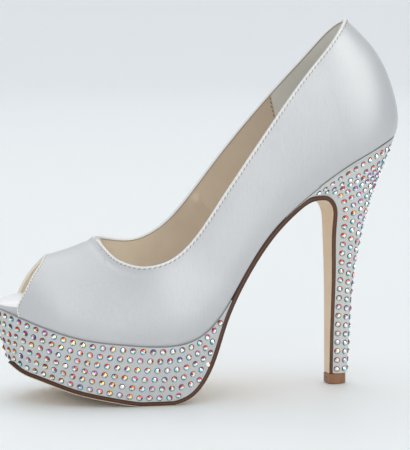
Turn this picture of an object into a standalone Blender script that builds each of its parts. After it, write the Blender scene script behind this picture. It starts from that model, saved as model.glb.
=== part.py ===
"""Peep-toe platform pump for the left foot, with the toe at -X and the outer side at -Y.

Sizes are in millimetres in the shoe's own frame: x runs from the toe tip to the heel, y from the
outer side (negative) to the inner side, z up from the floor. The objects are made in metres, with
the origin on the floor in the middle of the shoe's box.
"""

import math

import bmesh
import bpy
import numpy as np

MM = 0.001

# Driving sizes
GAP = 0.3                     # clearance between pieces that meet
WALL = 1.6                    # upper with its lining
SOLE_THICKNESS = 2.5          # outsole
SOLE_MARGIN = 0.5             # how far the outsole's edge is set in at the waist
PLATFORM_TAPER = 3.6          # how far the platform's foot is set in from its top edge
TOE_TAPER = 7.2               # the same at the toe tip
PLATFORM_MARGIN = 0.2         # how far the platform's top edge is set in under the upper
PLATFORM_THIN_EDGE = 1.0      # the platform ends where it is thinner than this
TOP_PIECE_HEIGHT = 5.6        # heel tip
TOP_PIECE_BEVEL = 0.5         # rounding of the heel tip's foot
TOP_PIECE_FRONT_HALF = 4.9    # half width of the heel tip at its straight front
TOP_PIECE_HALF = 5.3          # half width of the heel tip where it is widest
TOP_PIECE_RIM = 0.25          # how far the heel tip stands out before and behind the heel
HEEL_CENTRE_X = 182.0         # where the heel's round back begins
HEEL_BACK_X = 214.2           # feather edge at the back seam
HEEL_RUN = 40.0               # station length given to the heel's round back
HEEL_WIDEST = 0.42            # share of the heel's depth where it is widest
HEEL_ROUND_DEG = 84.0         # how far round its back the heel's side points go
SEAT_BEND_RUN = 80.0          # run up the breast where the heel's levels begin to follow the seat
TOE_END_X = 24.0              # end of the round toe
THROAT_X = 51.0               # front of the collar on the crest
THROAT_END_X = 72.0           # end of the rows crowded behind the throat
VAMP_END_X = 42.0             # rows follow the peep toe's edge up to here
PLATFORM_END_X = 116.0        # the platform's rings stop before this
TOE_TAPER_END_X = 34.0        # the toe's taper fades out up to here
TAPER_FROM_X = 60.0           # the platform's taper fades out from here
TAPER_TO_X = 110.0            # to here
INSOLE_MARGIN_RUN = 9.0       # length from the toe tip over which the upper's wall begins
INSOLE_SHOULDER_RUN = 6.0     # length from the toe tip over which the insole's shoulder begins
INSOLE_HEEL_SHARE = 0.95      # share of the heel's round back that the insole's rings reach
SHARP_DEG = 35.0              # edges sharper than this are shaded sharp
OUTER, INNER = -1, 1          # the two sides of the shoe

# Grid counts and steps
UPPER_COLUMNS = 14
COLUMN_CROWDING = 1.35        # columns lie closer together towards the feather edge
VAMP_ROWS = 10
TO_THROAT_ROWS = 3
THROAT_ROWS = 9
THROAT_CROWDING = 1.6         # rows lie closer together towards the throat
QUARTER_ROWS = 22
COUNTER_ROWS = 13
TOE_RINGS = 11
RING_PITCH = 4.0              # between rings behind the toe
INSOLE_HEEL_RINGS = 12
SOLE_TOE_RINGS = 10
SOLE_RINGS = 65
PLATFORM_LEVELS = 5
HEEL_RINGS = 30
HEEL_FRONT_POINTS = 4
HEEL_BACK_POINTS = 8
FINE_STATIONS = 260           # samples of an outline
FINE_RUNS = 1200              # samples of the outsole's side view
BISECTIONS = 40
SLOPE_STEP = 0.01
NORMAL_STEP = 0.5


def table(columns, *rows):
    """Named columns of a short table."""
    return dict(zip(columns.split(), np.array(rows, float).T))


# Feather edge, where the upper meets what carries it, seen from the side
FEATHER = table(
    "x z",
    (-3.2, 47.4), (14, 42.0), (33, 36.0), (55, 32.8), (78, 31.3), (92, 33.4), (103, 40.0),
    (110.5, 48.3), (119.5, 61.9), (134, 82.3), (150, 98.0), (169, 112.0), (189, 124.0), (214.2, 133.8),
)

# Plan of the feather edge: centre line and half width
PLAN = table(
    "x centre half_width",
    (-3.2, 4.0, 0), (0, 3.9, 11.4), (4, 3.8, 17.6), (10, 3.5, 23.2), (24, 2.7, 31.2), (50, 0.0, 38.3),
    (65, -1.2, 39.7), (80, -2.2, 39.2), (95, -2.8, 36.5), (110, -2.8, 32.6), (125, -2.4, 29.2),
    (140, -1.5, 27.1), (160, -0.5, 26.1), (182, 0, 25.6),
)
TOE_X = PLAN["x"][0]

# Last above the feather edge: lean of each section, height and place of its crest, and the power
# that flattens its outer and inner shoulder
LAST = table(
    "x lean crest_height crest_y outer_power inner_power",
    (0, 0, 6, 5.5, 1.20, 1.10),
    (8, 0, 21, 7.0, 1.25, 1.10),
    (25, 0, 36, 9.0, 1.45, 1.10),
    (54, 1, 51.2, 9.0, 1.50, 1.10),
    (66, 4, 60, 8.0, 1.35, 1.05),
    (80, 8, 74, 6.0, 1.20, 1.00),
    (110, 18, 92, 2.0, 1.00, 1.00),
    (130, 21, 98, 1.0, 1.00, 1.00),
    (155, 20, 105, 0.0, 1.00, 1.00),
    (182, 16, 110, 0.0, 1.00, 1.00),
)

# Fullness of the wall beyond the last's plain section, by height above the feather edge
FULLNESS = table(
    "height side back",
    (0, 0, 0), (3, 0.8, 2.7), (8, 1.6, 5.5), (17, 1.9, 7.7), (30, 1.2, 8.9), (47, -1.8, 8.2),
    (57, -5.0, 6.1), (70, -9.0, 2.4),
)

# Topline seen from the side, behind the throat
TOPLINE = table(
    "x outer_z inner_z",
    (52, 80.8, 82.9), (55, 76.8, 82.8), (60, 73.2, 81.8), (68, 71.4, 80.2), (76, 72.8, 80.2),
    (86, 77.9, 84.2), (96, 87.2, 91.8), (108, 103.2, 105.6), (122, 121.9, 123.6), (140, 145.4, 145.4),
    (158, 167.6, 165.8), (174, 185.2, 183.0), (184, 195.2, 193.2), (192, 199.0, 199.0),
)

# Peep toe: where its edge crosses each line of the last, from the feather edge (0) to the crest (90)
PEEP = table(
    "angle outer_x inner_x",
    (0, 7.6, 12.0), (20, 6.8, 13.0), (35, 8.6, 15.8), (47, 11.6, 18.8), (60, 16.0, 23.8),
    (74, 22.2, 27.6), (90, 27.0, 27.0),
)

# Insole: height of its padded top above the feather edge, and its round shoulder
INSOLE = table(
    "x height",
    (0, 7.2), (8, 10.3), (20, 12.0), (40, 9.8), (75, 6.2), (110, 4.8), (160, 4.2), (215, 4.0),
)
INSOLE_SHOULDER = table("height_share inset", (0, 0), (0.45, 0), (0.82, 1.5), (1, 4.6))

# Outsole's underside from the toe to the arch, seen from the side; below the floor it is cut flat
FOREFOOT = table(
    "x z",
    (4.0, 18.2), (15, 13.9), (32, 7.4), (50, 3.0), (64, 0.1), (73, -0.6), (82, 0.1), (90.5, 3.9),
    (98, 12.0), (104.4, 24.4), (110.2, 39.4),
)
WAIST_X = (120, 130, 140, 150)

# Outsole's underside from the arch down the heel breast, with its half width there
BREAST = table(
    "x z half_width",
    (161, 101.3, 24.2), (167, 101.7, 20.0), (173.2, 100.6, 14.6), (176.7, 97.2, 11.6),
    (178.0, 88.0, 8.6), (178.3, 64.0, 6.7), (178.0, 36.0, 5.5), (177.6, 5.9, 4.8),
)

# Heel: run up the breast and height on the back that each level joins, with its widest half width
HEEL = table(
    "breast_run back_z half_width",
    (0, 5.9, 5.2), (22, 28.0, 5.7), (46, 51.6, 6.5), (64, 70.3, 7.6), (80, 88.0, 9.6),
    (88, 99.0, 12.2), (94, 108.5, 15.6), (101, 118.0, 20.0), (110, 126.0, 23.6), (127, 133.2, 25.7),
)

# Heel's back, seen from the side
HEEL_BACK = table(
    "z x",
    (5.9, 188.7), (28, 190.0), (51.6, 191.6), (70.3, 194.3), (88.6, 198.4), (109, 204.9),
    (124, 211.4), (133.2, 214.0),
)
# Base colour and roughness of each piece
COLOURS = {
    "upper": ((0.82, 0.82, 0.84), 0.42),
    "insole": ((0.84, 0.83, 0.83), 0.38),
    "platform": ((0.60, 0.60, 0.63), 0.45),
    "outsole": ((0.22, 0.11, 0.07), 0.50),
    "heel": ((0.60, 0.60, 0.63), 0.45),
    "top_piece": ((0.40, 0.22, 0.12), 0.55),
}


def spline(knots, values):
    """Natural cubic through the knots, as a function."""
    count = len(knots)
    step = np.diff(knots)
    matrix = np.eye(count)
    right_side = np.zeros(count)
    for i in range(1, count - 1):
        matrix[i, i - 1:i + 2] = step[i - 1], 2 * (step[i - 1] + step[i]), step[i]
        slope_after = (values[i + 1] - values[i]) / step[i]
        slope_before = (values[i] - values[i - 1]) / step[i - 1]
        right_side[i] = 6 * (slope_after - slope_before)
    bend = np.linalg.solve(matrix, right_side)

    def evaluate(at):
        at = np.clip(at, knots[0], knots[-1])
        i = np.clip(np.searchsorted(knots, at) - 1, 0, count - 2)
        before = at - knots[i]
        after = knots[i + 1] - at
        cubic = (bend[i] * after**3 + bend[i + 1] * before**3) / (6 * step[i])
        start = (values[i] / step[i] - bend[i] * step[i] / 6) * after
        end = (values[i + 1] / step[i] - bend[i + 1] * step[i] / 6) * before
        return cubic + start + end

    return evaluate


def columns_of(source, key):
    """A spline for each column of a table, over its key column."""
    return {name: spline(source[key], values) for name, values in source.items() if name != key}


feather_z = spline(FEATHER["x"], FEATHER["z"])
plan_centre = spline(PLAN["x"], PLAN["centre"])
plan_half = spline(np.sqrt(PLAN["x"] - TOE_X), PLAN["half_width"])
last = columns_of(LAST, "x")
fullness = columns_of(FULLNESS, "height")
heel_level = columns_of(HEEL, "breast_run")
heel_back_x = spline(HEEL_BACK["z"], HEEL_BACK["x"])
peep = columns_of(PEEP, "angle")
insole_height = spline(INSOLE["x"], INSOLE["height"])


def smooth(value, start, end):
    """Smooth step from 0 at the start to 1 at the end."""
    share = min(1, max(0, (value - start) / (end - start)))
    return share * share * (3 - 2 * share)


def half_width(x):
    """Half width of the feather edge's plan."""
    return plan_half(math.sqrt(x - TOE_X))


def feather_normal(x):
    """Unit normal of the feather edge in the side view, as x and z."""
    before = max(x - NORMAL_STEP, TOE_X)
    after = min(x + NORMAL_STEP, HEEL_BACK_X)
    slope = (feather_z(after) - feather_z(before)) / (after - before)
    size = math.hypot(slope, 1)
    return -slope / size, 1 / size


def under_feather(x):
    """Height of a surface that keeps the gap below the feather edge."""
    return feather_z(x) - GAP / feather_normal(x)[1]


def outline(station, side, inset=0.0):
    """Plan point of the feather edge, set in by a distance."""
    if station <= HEEL_CENTRE_X:
        y = plan_centre(station) + side * half_width(station)
        ahead = station + SLOPE_STEP
        rise = (plan_centre(ahead) + side * half_width(ahead) - y) / SLOPE_STEP
        normal = np.array((-rise * side, 1.0)) / math.hypot(rise, 1)
        return np.array((station - inset * normal[0], y - side * inset * normal[1]))
    angle = (station - HEEL_CENTRE_X) / HEEL_RUN * math.pi / 2
    length = HEEL_BACK_X - HEEL_CENTRE_X
    width = half_width(HEEL_CENTRE_X)
    normal = np.array((math.sin(angle) / length, math.cos(angle) / width))
    normal /= np.linalg.norm(normal)
    x = HEEL_CENTRE_X + length * math.sin(angle) - inset * normal[0]
    y = width * math.cos(angle) - inset * normal[1]
    return np.array((x, side * y))


def outline_samples(inset, side):
    """Fine points of the outline's one side, set in by a distance that varies along it."""
    roots = np.linspace(0.05, math.sqrt(HEEL_CENTRE_X - TOE_X), FINE_STATIONS)
    return np.array([outline(s, side, inset(s)) for s in TOE_X + roots**2])


def last_point(station, side, angle):
    """Point of the last's outside; the angle runs from the feather edge to the crest."""
    x = min(station, HEEL_CENTRE_X)
    foot = outline(station, side)
    base = np.array((x, last["crest_y"](x), feather_z(x)))
    reach = np.array((foot[0], foot[1], feather_z(foot[0]))) - base
    lean = math.radians(last["lean"](x))
    rise = np.array((-math.sin(lean), 0, math.cos(lean)))
    power = last["outer_power" if side == OUTER else "inner_power"](x)
    height = last["crest_height"](x) * math.sin(angle) ** power
    back_share = max(0, (station - HEEL_CENTRE_X) / HEEL_RUN)
    turn = math.sin(back_share * math.pi / 2) ** 2
    toe_share = min(1, station / PEEP["outer_x"][-1])
    swell = fullness["side"](height) * toe_share * (1 - turn) + fullness["back"](height) * turn
    out = reach / np.linalg.norm(reach)
    return base + (reach + swell * out) * math.cos(angle) + rise * height


def topline_of(side):
    """Height of the topline over x, from the crest at the throat."""
    throat = last_point(THROAT_X, side, math.pi / 2)
    heights = TOPLINE["outer_z" if side == OUTER else "inner_z"]
    return spline(np.append(throat[0], TOPLINE["x"]), np.append(throat[2], heights))


def topline_angle(station, side, limit):
    """Angle at which the topline cuts the last's section."""
    low = 0.0
    high = math.pi / 2
    for _ in range(BISECTIONS):
        middle = (low + high) / 2
        point = last_point(station, side, middle)
        if point[2] > limit(point[0]):
            high = middle
        else:
            low = middle
    return (low + high) / 2


def upper_stations():
    """Stations of the upper's rows behind the vamp."""
    to_throat = np.linspace(VAMP_END_X, THROAT_X, TO_THROAT_ROWS + 1)[1:]
    shares = np.linspace(0, 1, THROAT_ROWS + 1)[1:] ** THROAT_CROWDING
    around_throat = THROAT_X + (THROAT_END_X - THROAT_X) * shares
    quarter = np.linspace(THROAT_END_X, HEEL_CENTRE_X, QUARTER_ROWS + 1)[1:]
    counter = np.linspace(HEEL_CENTRE_X, HEEL_CENTRE_X + HEEL_RUN, COUNTER_ROWS + 1)[1:]
    return np.concatenate((to_throat, around_throat, quarter, counter))


def upper_side(side):
    """Grid of outside points of one side, rows from the peep toe to the back seam."""
    peep_edge = peep["outer_x" if side == OUTER else "inner_x"]
    shares = np.linspace(0, 1, UPPER_COLUMNS + 1) ** COLUMN_CROWDING
    rows = []
    stations = []
    for share in np.linspace(0, 1, VAMP_ROWS + 1):
        angles = shares * math.pi / 2
        starts = peep_edge(np.degrees(angles))
        along = starts + (VAMP_END_X - starts) * share
        rows.append([last_point(x, side, angle) for x, angle in zip(along, angles)])
        stations.append(along[0])
    limit = topline_of(side)
    for station in upper_stations():
        top = topline_angle(station, side, limit) if station > THROAT_X else math.pi / 2
        rows.append([last_point(station, side, top * share) for share in shares])
        stations.append(station)
    return np.array(rows), stations


def inside_of(grid, stations, side):
    """Grid set in by the wall; its foot stays on the feather edge."""
    along = np.gradient(grid, axis=0)
    across = np.gradient(grid, axis=1)
    normals = np.cross(along, across) * -side
    normals /= np.linalg.norm(normals, axis=2, keepdims=True)
    inside = grid - WALL * normals
    for i, station in enumerate(stations):
        foot = outline(station, side, WALL)
        inside[i, 0] = foot[0], foot[1], feather_z(foot[0])
    return inside


def upper_shape():
    """Hollow upper, open underneath, at the collar and at the peep toe."""
    outside, inside = {}, {}
    for side in (OUTER, INNER):
        outside[side], stations = upper_side(side)
        inside[side] = inside_of(outside[side], stations, side)
    row_count = len(outside[OUTER])
    throat_row = VAMP_ROWS + TO_THROAT_ROWS
    points = []
    index = {}

    def add(layer, name):
        for side in (OUTER, INNER):
            for i in range(row_count):
                for j in range(UPPER_COLUMNS + 1):
                    crest = j == UPPER_COLUMNS and i <= throat_row
                    shared = crest or i == row_count - 1
                    if shared and side == INNER:
                        index[name, side, i, j] = index[name, OUTER, i, j]
                        continue
                    point = layer[side][i, j]
                    if shared:
                        point = (point + layer[INNER][i, j]) / 2
                    index[name, side, i, j] = len(points)
                    points.append(point)

    add(outside, "out")
    add(inside, "in")
    faces = []
    for side in (OUTER, INNER):
        for name in ("out", "in"):
            for i in range(row_count - 1):
                for j in range(UPPER_COLUMNS):
                    corners = ((i, j), (i + 1, j), (i + 1, j + 1), (i, j + 1))
                    faces.append([index[(name, side) + corner] for corner in corners])
        foot = [(i, 0) for i in range(row_count)]
        collar = [(i, UPPER_COLUMNS) for i in range(throat_row, row_count)]
        mouth = [(0, j) for j in range(UPPER_COLUMNS + 1)]
        for edge in (foot, collar, mouth):
            for a, b in zip(edge, edge[1:]):
                corners = (("out", a), ("out", b), ("in", b), ("in", a))
                faces.append([index[(name, side) + corner] for name, corner in corners])
    return np.array(points), faces


def loft(rings):
    """Closed shape through rings of paired points: the first half on one side, the rest mirrored."""
    count = len(rings[0])
    points = np.concatenate(rings)
    faces = []
    for k in range(len(rings) - 1):
        for j in range(count):
            n = (j + 1) % count
            faces.append([k * count + j, k * count + n, (k + 1) * count + n, (k + 1) * count + j])
    for start in (0, (len(rings) - 1) * count):
        for j in range((count - 1) // 2):
            cap = [start + j, start + j + 1, start + count - 2 - j, start + count - 1 - j]
            faces.append(list(dict.fromkeys(cap)))
    return points, faces


def paired_ring(outer_side, inner_side):
    """One ring from the outer side's points and the inner side's, both listed top to bottom."""
    return np.array(list(outer_side) + list(inner_side)[::-1])


def forefoot_stations(end):
    """Stations from the toe, closer together at its round tip."""
    toe = TOE_X + np.linspace(0.5, math.sqrt(TOE_END_X - TOE_X), TOE_RINGS) ** 2
    behind = np.linspace(TOE_END_X, end, round((end - TOE_END_X) / RING_PITCH) + 1)[1:]
    return np.concatenate((toe, behind))


def insole_shape():
    """Board on the feather edge with a round shoulder."""
    heel_shares = np.linspace(0, INSOLE_HEEL_SHARE, INSOLE_HEEL_RINGS + 1)[1:]
    stations = np.concatenate((forefoot_stations(HEEL_CENTRE_X), HEEL_CENTRE_X + HEEL_RUN * heel_shares))
    rings = []
    for station in stations:
        margin = GAP + (WALL + GAP) * smooth(station, TOE_X, TOE_X + INSOLE_MARGIN_RUN)
        shoulder_share = min(1, (station - TOE_X) / INSOLE_SHOULDER_RUN)
        sides = []
        for side in (OUTER, INNER):
            points = []
            for share, inset in zip(INSOLE_SHOULDER["height_share"], INSOLE_SHOULDER["inset"]):
                x, y = outline(station, side, margin + inset * shoulder_share)
                nx, nz = feather_normal(x)
                lift = GAP / 2 + share * insole_height(x)
                points.append((x + nx * lift, y, feather_z(x) + nz * lift))
            sides.append(points)
        rings.append(paired_ring(*sides))
    return loft(rings)


def sole_path():
    """Outsole's underside as a fine line in the side view, with its run and the breast's half width."""
    rows = list(zip(FOREFOOT["x"], FOREFOOT["z"]))
    for x in WAIST_X:
        nx, nz = feather_normal(x)
        drop = SOLE_THICKNESS + GAP
        rows.append((x - nx * drop, feather_z(x) - nz * drop))
    breast_start = len(rows)
    rows += list(zip(BREAST["x"], BREAST["z"]))
    rows = np.array(rows)
    run = np.concatenate(((0,), np.cumsum(np.hypot(*np.diff(rows, axis=0).T))))
    fine = np.linspace(0, run[-1], FINE_RUNS)
    line = np.stack([spline(run, column)(fine) for column in rows.T], axis=1)
    line[:, 1] = np.maximum(line[:, 1], 0)
    along = np.gradient(line, axis=0)
    along /= np.linalg.norm(along, axis=1, keepdims=True)
    normal = np.stack((-along[:, 1], along[:, 0]), axis=1)
    knots = run[breast_start - 1:]
    waist_half = half_width(rows[breast_start - 1, 0]) - SOLE_MARGIN
    breast_half = spline(knots, np.append(waist_half, BREAST["half_width"]))
    return fine, line, normal, knots[0], breast_half


def sole_inset(station):
    """How far the sole's edge is set in from the upper's feather edge."""
    side_share = 1 - smooth(station, TAPER_FROM_X, TAPER_TO_X)
    toe_share = 1 - smooth(station, TOE_X, TOE_TAPER_END_X)
    side_inset = SOLE_MARGIN + (PLATFORM_TAPER - SOLE_MARGIN) * side_share
    return side_inset + (TOE_TAPER - PLATFORM_TAPER) * toe_share


sole_run, sole_line, sole_normal, breast_from, breast_half_width = sole_path()
sole_edges = [outline_samples(sole_inset, side) for side in (OUTER, INNER)]


def sole_point(run, lift):
    """Point of the side view at a distance above the outsole's underside."""
    line = sole_line + sole_normal * lift
    return np.array([np.interp(run, sole_run, line[:, k]) for k in (0, 1)])


def sole_sides(run):
    """Y of the outsole's two edges."""
    x = sole_point(run, 0)[0]
    if run > breast_from:
        centre = plan_centre(x)
        half = breast_half_width(run)
        return centre - half, centre + half
    return [np.interp(x, edge[:, 0], edge[:, 1]) for edge in sole_edges]


def outsole_shape():
    """Leather sole from the toe to the foot of the heel breast."""
    toe = np.linspace(0.3, math.sqrt(TOE_END_X), SOLE_TOE_RINGS) ** 2
    rest = np.linspace(TOE_END_X, sole_run[-1], SOLE_RINGS + 1)[1:]
    rings = []
    for run in np.concatenate((toe, rest)):
        levels = [sole_point(run, lift) for lift in (SOLE_THICKNESS, SOLE_THICKNESS / 2, 0)]
        sides = [[(x, y, z) for x, z in levels] for y in sole_sides(run)]
        rings.append(paired_ring(*sides))
    return loft(rings)


def platform_shape():
    """Wedge between the outsole and the upper, out to a thin edge under the arch."""
    over_sole = (sole_line + sole_normal * (SOLE_THICKNESS + GAP))[sole_run < breast_from]
    rings = []
    for station in forefoot_stations(PLATFORM_END_X):
        sides = []
        for side in (OUTER, INNER):
            points = []
            for level in np.linspace(0, 1, PLATFORM_LEVELS):
                inset = PLATFORM_MARGIN + (sole_inset(station) - PLATFORM_MARGIN) * level
                x, y = outline(station, side, inset)
                top = under_feather(x)
                foot = np.interp(x, over_sole[:, 0], over_sole[:, 1])
                points.append((x, y, top + (foot - top) * level))
            sides.append(points)
        outer_top, outer_foot = sides[0][0], sides[0][-1]
        if outer_top[2] - outer_foot[2] < PLATFORM_THIN_EDGE:
            break
        rings.append(paired_ring(*sides))
    return loft(rings)


def heel_ring(front, back, front_half, widest_half, bend):
    """Level of the heel: straight at the breast, round at the back."""
    front_shares = np.linspace(0, HEEL_WIDEST, HEEL_FRONT_POINTS, endpoint=False)
    turns = np.radians(np.linspace(0, HEEL_ROUND_DEG, HEEL_BACK_POINTS))
    back_shares = HEEL_WIDEST + (1 - HEEL_WIDEST) * np.sin(turns)
    sides = []
    for side in (OUTER, INNER):
        points = []
        for share in np.concatenate((front_shares, back_shares)):
            x = front[0] + (back[0] - front[0]) * share
            z = front[1] + (back[1] - front[1]) * share
            z += bend * (under_feather(x) - z)
            if share < HEEL_WIDEST:
                ease = math.sin(share / HEEL_WIDEST * math.pi / 2)
                half = front_half + (widest_half - front_half) * ease
            else:
                half = widest_half * math.sqrt(1 - ((share - HEEL_WIDEST) / (1 - HEEL_WIDEST)) ** 2)
            points.append((x, plan_centre(x) + side * half, z))
        sides.append(points)
    return paired_ring(*sides)


def heel_shape():
    """Slim heel from the top piece to the seat under the counter."""
    runs = HEEL["breast_run"][-1] * np.linspace(0, 1, HEEL_RINGS)
    rings = []
    for run in runs:
        along = sole_run[-1] - run
        front = sole_point(along, SOLE_THICKNESS + GAP)
        back_z = heel_level["back_z"](run)
        back = (heel_back_x(back_z), back_z)
        front_half = sole_sides(along)[1] - plan_centre(front[0]) - PLATFORM_MARGIN
        bend = max(0, (run - SEAT_BEND_RUN) / (runs[-1] - SEAT_BEND_RUN)) ** 2
        rings.append(heel_ring(front, back, front_half, heel_level["half_width"](run), bend))
    return loft(rings)


def top_piece_shape():
    """Heel tip under the heel and the outsole's end."""
    front_x = BREAST["x"][-1] - TOP_PIECE_RIM
    back_x = HEEL_BACK["x"][0] + TOP_PIECE_RIM
    rings = []
    for z, inset in ((0, TOP_PIECE_BEVEL), (TOP_PIECE_BEVEL, 0), (TOP_PIECE_HEIGHT, 0)):
        front = (front_x + inset, z)
        back = (back_x - inset, z)
        rings.append(heel_ring(front, back, TOP_PIECE_FRONT_HALF - inset, TOP_PIECE_HALF - inset, 0))
    return loft(rings)


def make_object(name, points, faces, origin):
    """Closed object in metres with its own material."""
    mesh = bpy.data.meshes.new(name)
    mesh.from_pydata([tuple((p - origin) * MM) for p in points], [], faces)
    edit = bmesh.new()
    edit.from_mesh(mesh)
    bmesh.ops.triangulate(edit, faces=edit.faces)
    bmesh.ops.recalc_face_normals(edit, faces=edit.faces)
    edit.to_mesh(mesh)
    edit.free()
    mesh.shade_smooth()
    mesh.set_sharp_from_angle(angle=math.radians(SHARP_DEG))
    colour, roughness = COLOURS[name]
    material = bpy.data.materials.new(name)
    material.use_nodes = True
    shader = material.node_tree.nodes["Principled BSDF"]
    shader.inputs["Base Color"].default_value = (*colour, 1)
    shader.inputs["Roughness"].default_value = roughness
    mesh.materials.append(material)
    bpy.context.scene.collection.objects.link(bpy.data.objects.new(name, mesh))


def main():
    """Model each piece and set the origin under the middle of the whole."""
    for old in list(bpy.data.objects):
        bpy.data.objects.remove(old)
    shapes = {
        "upper": upper_shape(),
        "insole": insole_shape(),
        "platform": platform_shape(),
        "outsole": outsole_shape(),
        "heel": heel_shape(),
        "top_piece": top_piece_shape(),
    }
    every_point = np.concatenate([points for points, _ in shapes.values()])
    origin = (every_point.min(axis=0) + every_point.max(axis=0)) / 2
    origin[2] = 0
    for name, (points, faces) in shapes.items():
        make_object(name, points, faces, origin)


main()
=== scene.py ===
"""Looks of a white satin peep-toe platform pump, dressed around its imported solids.

Sizes are in millimetres in the shoe's own frame, as in the part: x runs from the toe to the heel,
y from the outer side (negative) to the inner side, z up from the floor. Materials are in metres.
"""

import math

import bmesh
import bpy
import numpy as np
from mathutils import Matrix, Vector, kdtree, noise


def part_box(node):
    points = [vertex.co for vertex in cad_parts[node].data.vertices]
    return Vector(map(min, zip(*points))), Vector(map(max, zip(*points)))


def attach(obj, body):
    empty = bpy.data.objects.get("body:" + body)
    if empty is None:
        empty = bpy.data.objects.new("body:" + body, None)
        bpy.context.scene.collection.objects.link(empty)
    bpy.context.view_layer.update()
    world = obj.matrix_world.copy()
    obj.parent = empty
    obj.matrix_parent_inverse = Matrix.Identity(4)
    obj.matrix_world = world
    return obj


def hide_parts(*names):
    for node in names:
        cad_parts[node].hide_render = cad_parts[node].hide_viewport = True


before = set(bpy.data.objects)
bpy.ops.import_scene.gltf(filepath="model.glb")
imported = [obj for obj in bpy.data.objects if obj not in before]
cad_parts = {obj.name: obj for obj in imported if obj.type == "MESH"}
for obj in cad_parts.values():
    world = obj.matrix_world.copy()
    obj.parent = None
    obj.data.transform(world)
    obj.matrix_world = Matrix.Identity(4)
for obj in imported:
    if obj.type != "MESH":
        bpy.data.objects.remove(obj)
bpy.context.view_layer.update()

MM = 0.001

# Driving sizes, as in the part
GAP = 0.3
WALL = 1.6
SOLE_THICKNESS = 2.5
SOLE_MARGIN = 0.5
PLATFORM_TAPER = 3.6
TOE_TAPER = 7.2
PLATFORM_MARGIN = 0.2
PLATFORM_THIN_EDGE = 0.4
SOLID_TIP_X = 177.35           # front of the solid top piece
TOP_PIECE_FRONT_HALF = 4.1
TOP_PIECE_HALF = 5.3
TOP_PIECE_RIM = 0.25
HEEL_CENTRE_X = 182.0
HEEL_BACK_X = 214.2
HEEL_RUN = 40.0
HEEL_WIDEST = 0.42
SEAT_BEND_RUN = 80.0
SEAT_BEND_EASE = 0.3
FRONT_BEND_RUN = (104.0, 118.0)
THROAT_X = 51.9
THROAT_DROP = 0.4              # visible rim below the solid's topline, at the throat and behind it
QUARTER_DROP = 0.95
DROP_RUN_X = (70.0, 86.0)
DROP_FADE_X = 178.0
THROAT_END_X = 72.0
VAMP_END_X = 42.0
PLATFORM_END_X = 114.0
TOE_TAPER_END_X = 34.0
TAPER_RUN_X = (60.0, 110.0)
OUTER, INNER = -1, 1
SIDES = (OUTER, INNER)
LABELS = {OUTER: "outer", INNER: "inner"}

# Fine grids
UPPER_COLUMNS = 40
COLUMN_CROWDING = 1.2
VAMP_ROWS = 44
TO_THROAT_ROWS = 14
THROAT_ROW = VAMP_ROWS + TO_THROAT_ROWS
THROAT_ROWS = 34
THROAT_CROWDING = 1.6
QUARTER_ROWS = 96
COUNTER_ROWS = 44
FINE_RUNS = 2400
SLOPE_STEP = 0.01
NORMAL_STEP = 0.5
BISECTIONS = 40
CORD_SIDES = 8


def table(columns, *rows):
    """Named columns of a short table."""
    return dict(zip(columns.split(), np.array(rows, float).T))


FEATHER = table(
    "x z",
    (-3.2, 49.6), (14, 42.4), (33, 36.0), (55, 32.8), (78, 31.3), (92, 33.4), (103, 40.0),
    (110.5, 48.3), (119.5, 61.9), (134, 82.3), (150, 98.0), (169, 112.0), (189, 124.0), (214.2, 133.8),
)
PLAN = table(
    "x centre half_width",
    (-3.2, 4.0, 0), (0, 3.9, 11.4), (4, 3.8, 17.6), (10, 3.5, 23.2), (24, 2.7, 31.2), (50, 0.0, 38.3),
    (65, -1.2, 39.7), (80, -2.2, 39.2), (95, -2.8, 36.5), (110, -2.8, 32.6), (125, -2.4, 29.2),
    (140, -1.5, 27.1), (160, -0.5, 26.1), (182, 0, 25.6),
)
TOE_X = PLAN["x"][0]
LAST = table(
    "x lean crest_height crest_y outer_power inner_power",
    (0, 0, 6, 5.5, 1.20, 1.10),
    (8, 0, 21, 7.0, 1.25, 1.10),
    (25, 0, 36, 9.0, 1.45, 1.10),
    (54, 1, 51.2, 9.0, 1.50, 1.10),
    (66, 4, 60, 8.0, 1.35, 1.05),
    (80, 8, 74, 6.0, 1.20, 1.00),
    (110, 18, 92, 2.0, 1.00, 1.00),
    (130, 21, 98, 1.0, 1.00, 1.00),
    (155, 20, 105, 0.0, 1.00, 1.00),
    (182, 16, 110, 0.0, 1.00, 1.00),
)
FULLNESS = table(
    "height side back",
    (0, 0, 0), (3, 0.8, 2.7), (8, 1.6, 5.3), (17, 1.9, 7.2), (30, 1.2, 8.1), (47, -1.8, 7.0),
    (57, -5.0, 4.2), (70, -9.0, -1.2),
)
TOPLINE = table(
    "x outer_z inner_z",
    (53, 79.5, 82.9), (55, 76.5, 82.8), (60, 73.0, 81.8), (68, 71.4, 80.2), (76, 72.8, 80.2),
    (86, 77.9, 84.2), (96, 87.2, 91.8), (108, 103.2, 105.6), (122, 121.9, 123.6), (140, 145.4, 145.4),
    (158, 167.6, 165.8), (174, 185.4, 183.4), (184, 196.2, 194.4), (192, 201.0, 201.0),
)
PEEP = table(
    "angle outer_x inner_x",
    (0, 6.0, 12.6), (20, 5.6, 13.5), (35, 7.9, 16.4), (47, 11.0, 19.5), (60, 15.3, 23.0),
    (74, 20.8, 25.4), (90, 24.6, 24.6),
)
INSOLE = table(
    "x height",
    (0, 5.4), (8, 9.4), (20, 11.8), (40, 9.8), (75, 6.2), (110, 4.8), (160, 4.2), (215, 4.0),
)
INSOLE_SHOULDER = table(
    "height_share inset",
    (0, 0), (0.3, 0.2), (0.6, 1.2), (0.82, 3.0), (0.94, 5.4), (1, 8.4),
)
FOREFOOT = table(
    "x z",
    (4.0, 18.8), (8, 15.5), (15, 12.7), (32, 6.7), (50, 2.6), (64, 0.1), (73, -0.5), (82.5, 0.15),
    (91.8, 3.6), (99.5, 11.6), (105.8, 24.2), (111.2, 39.4),
)
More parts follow.
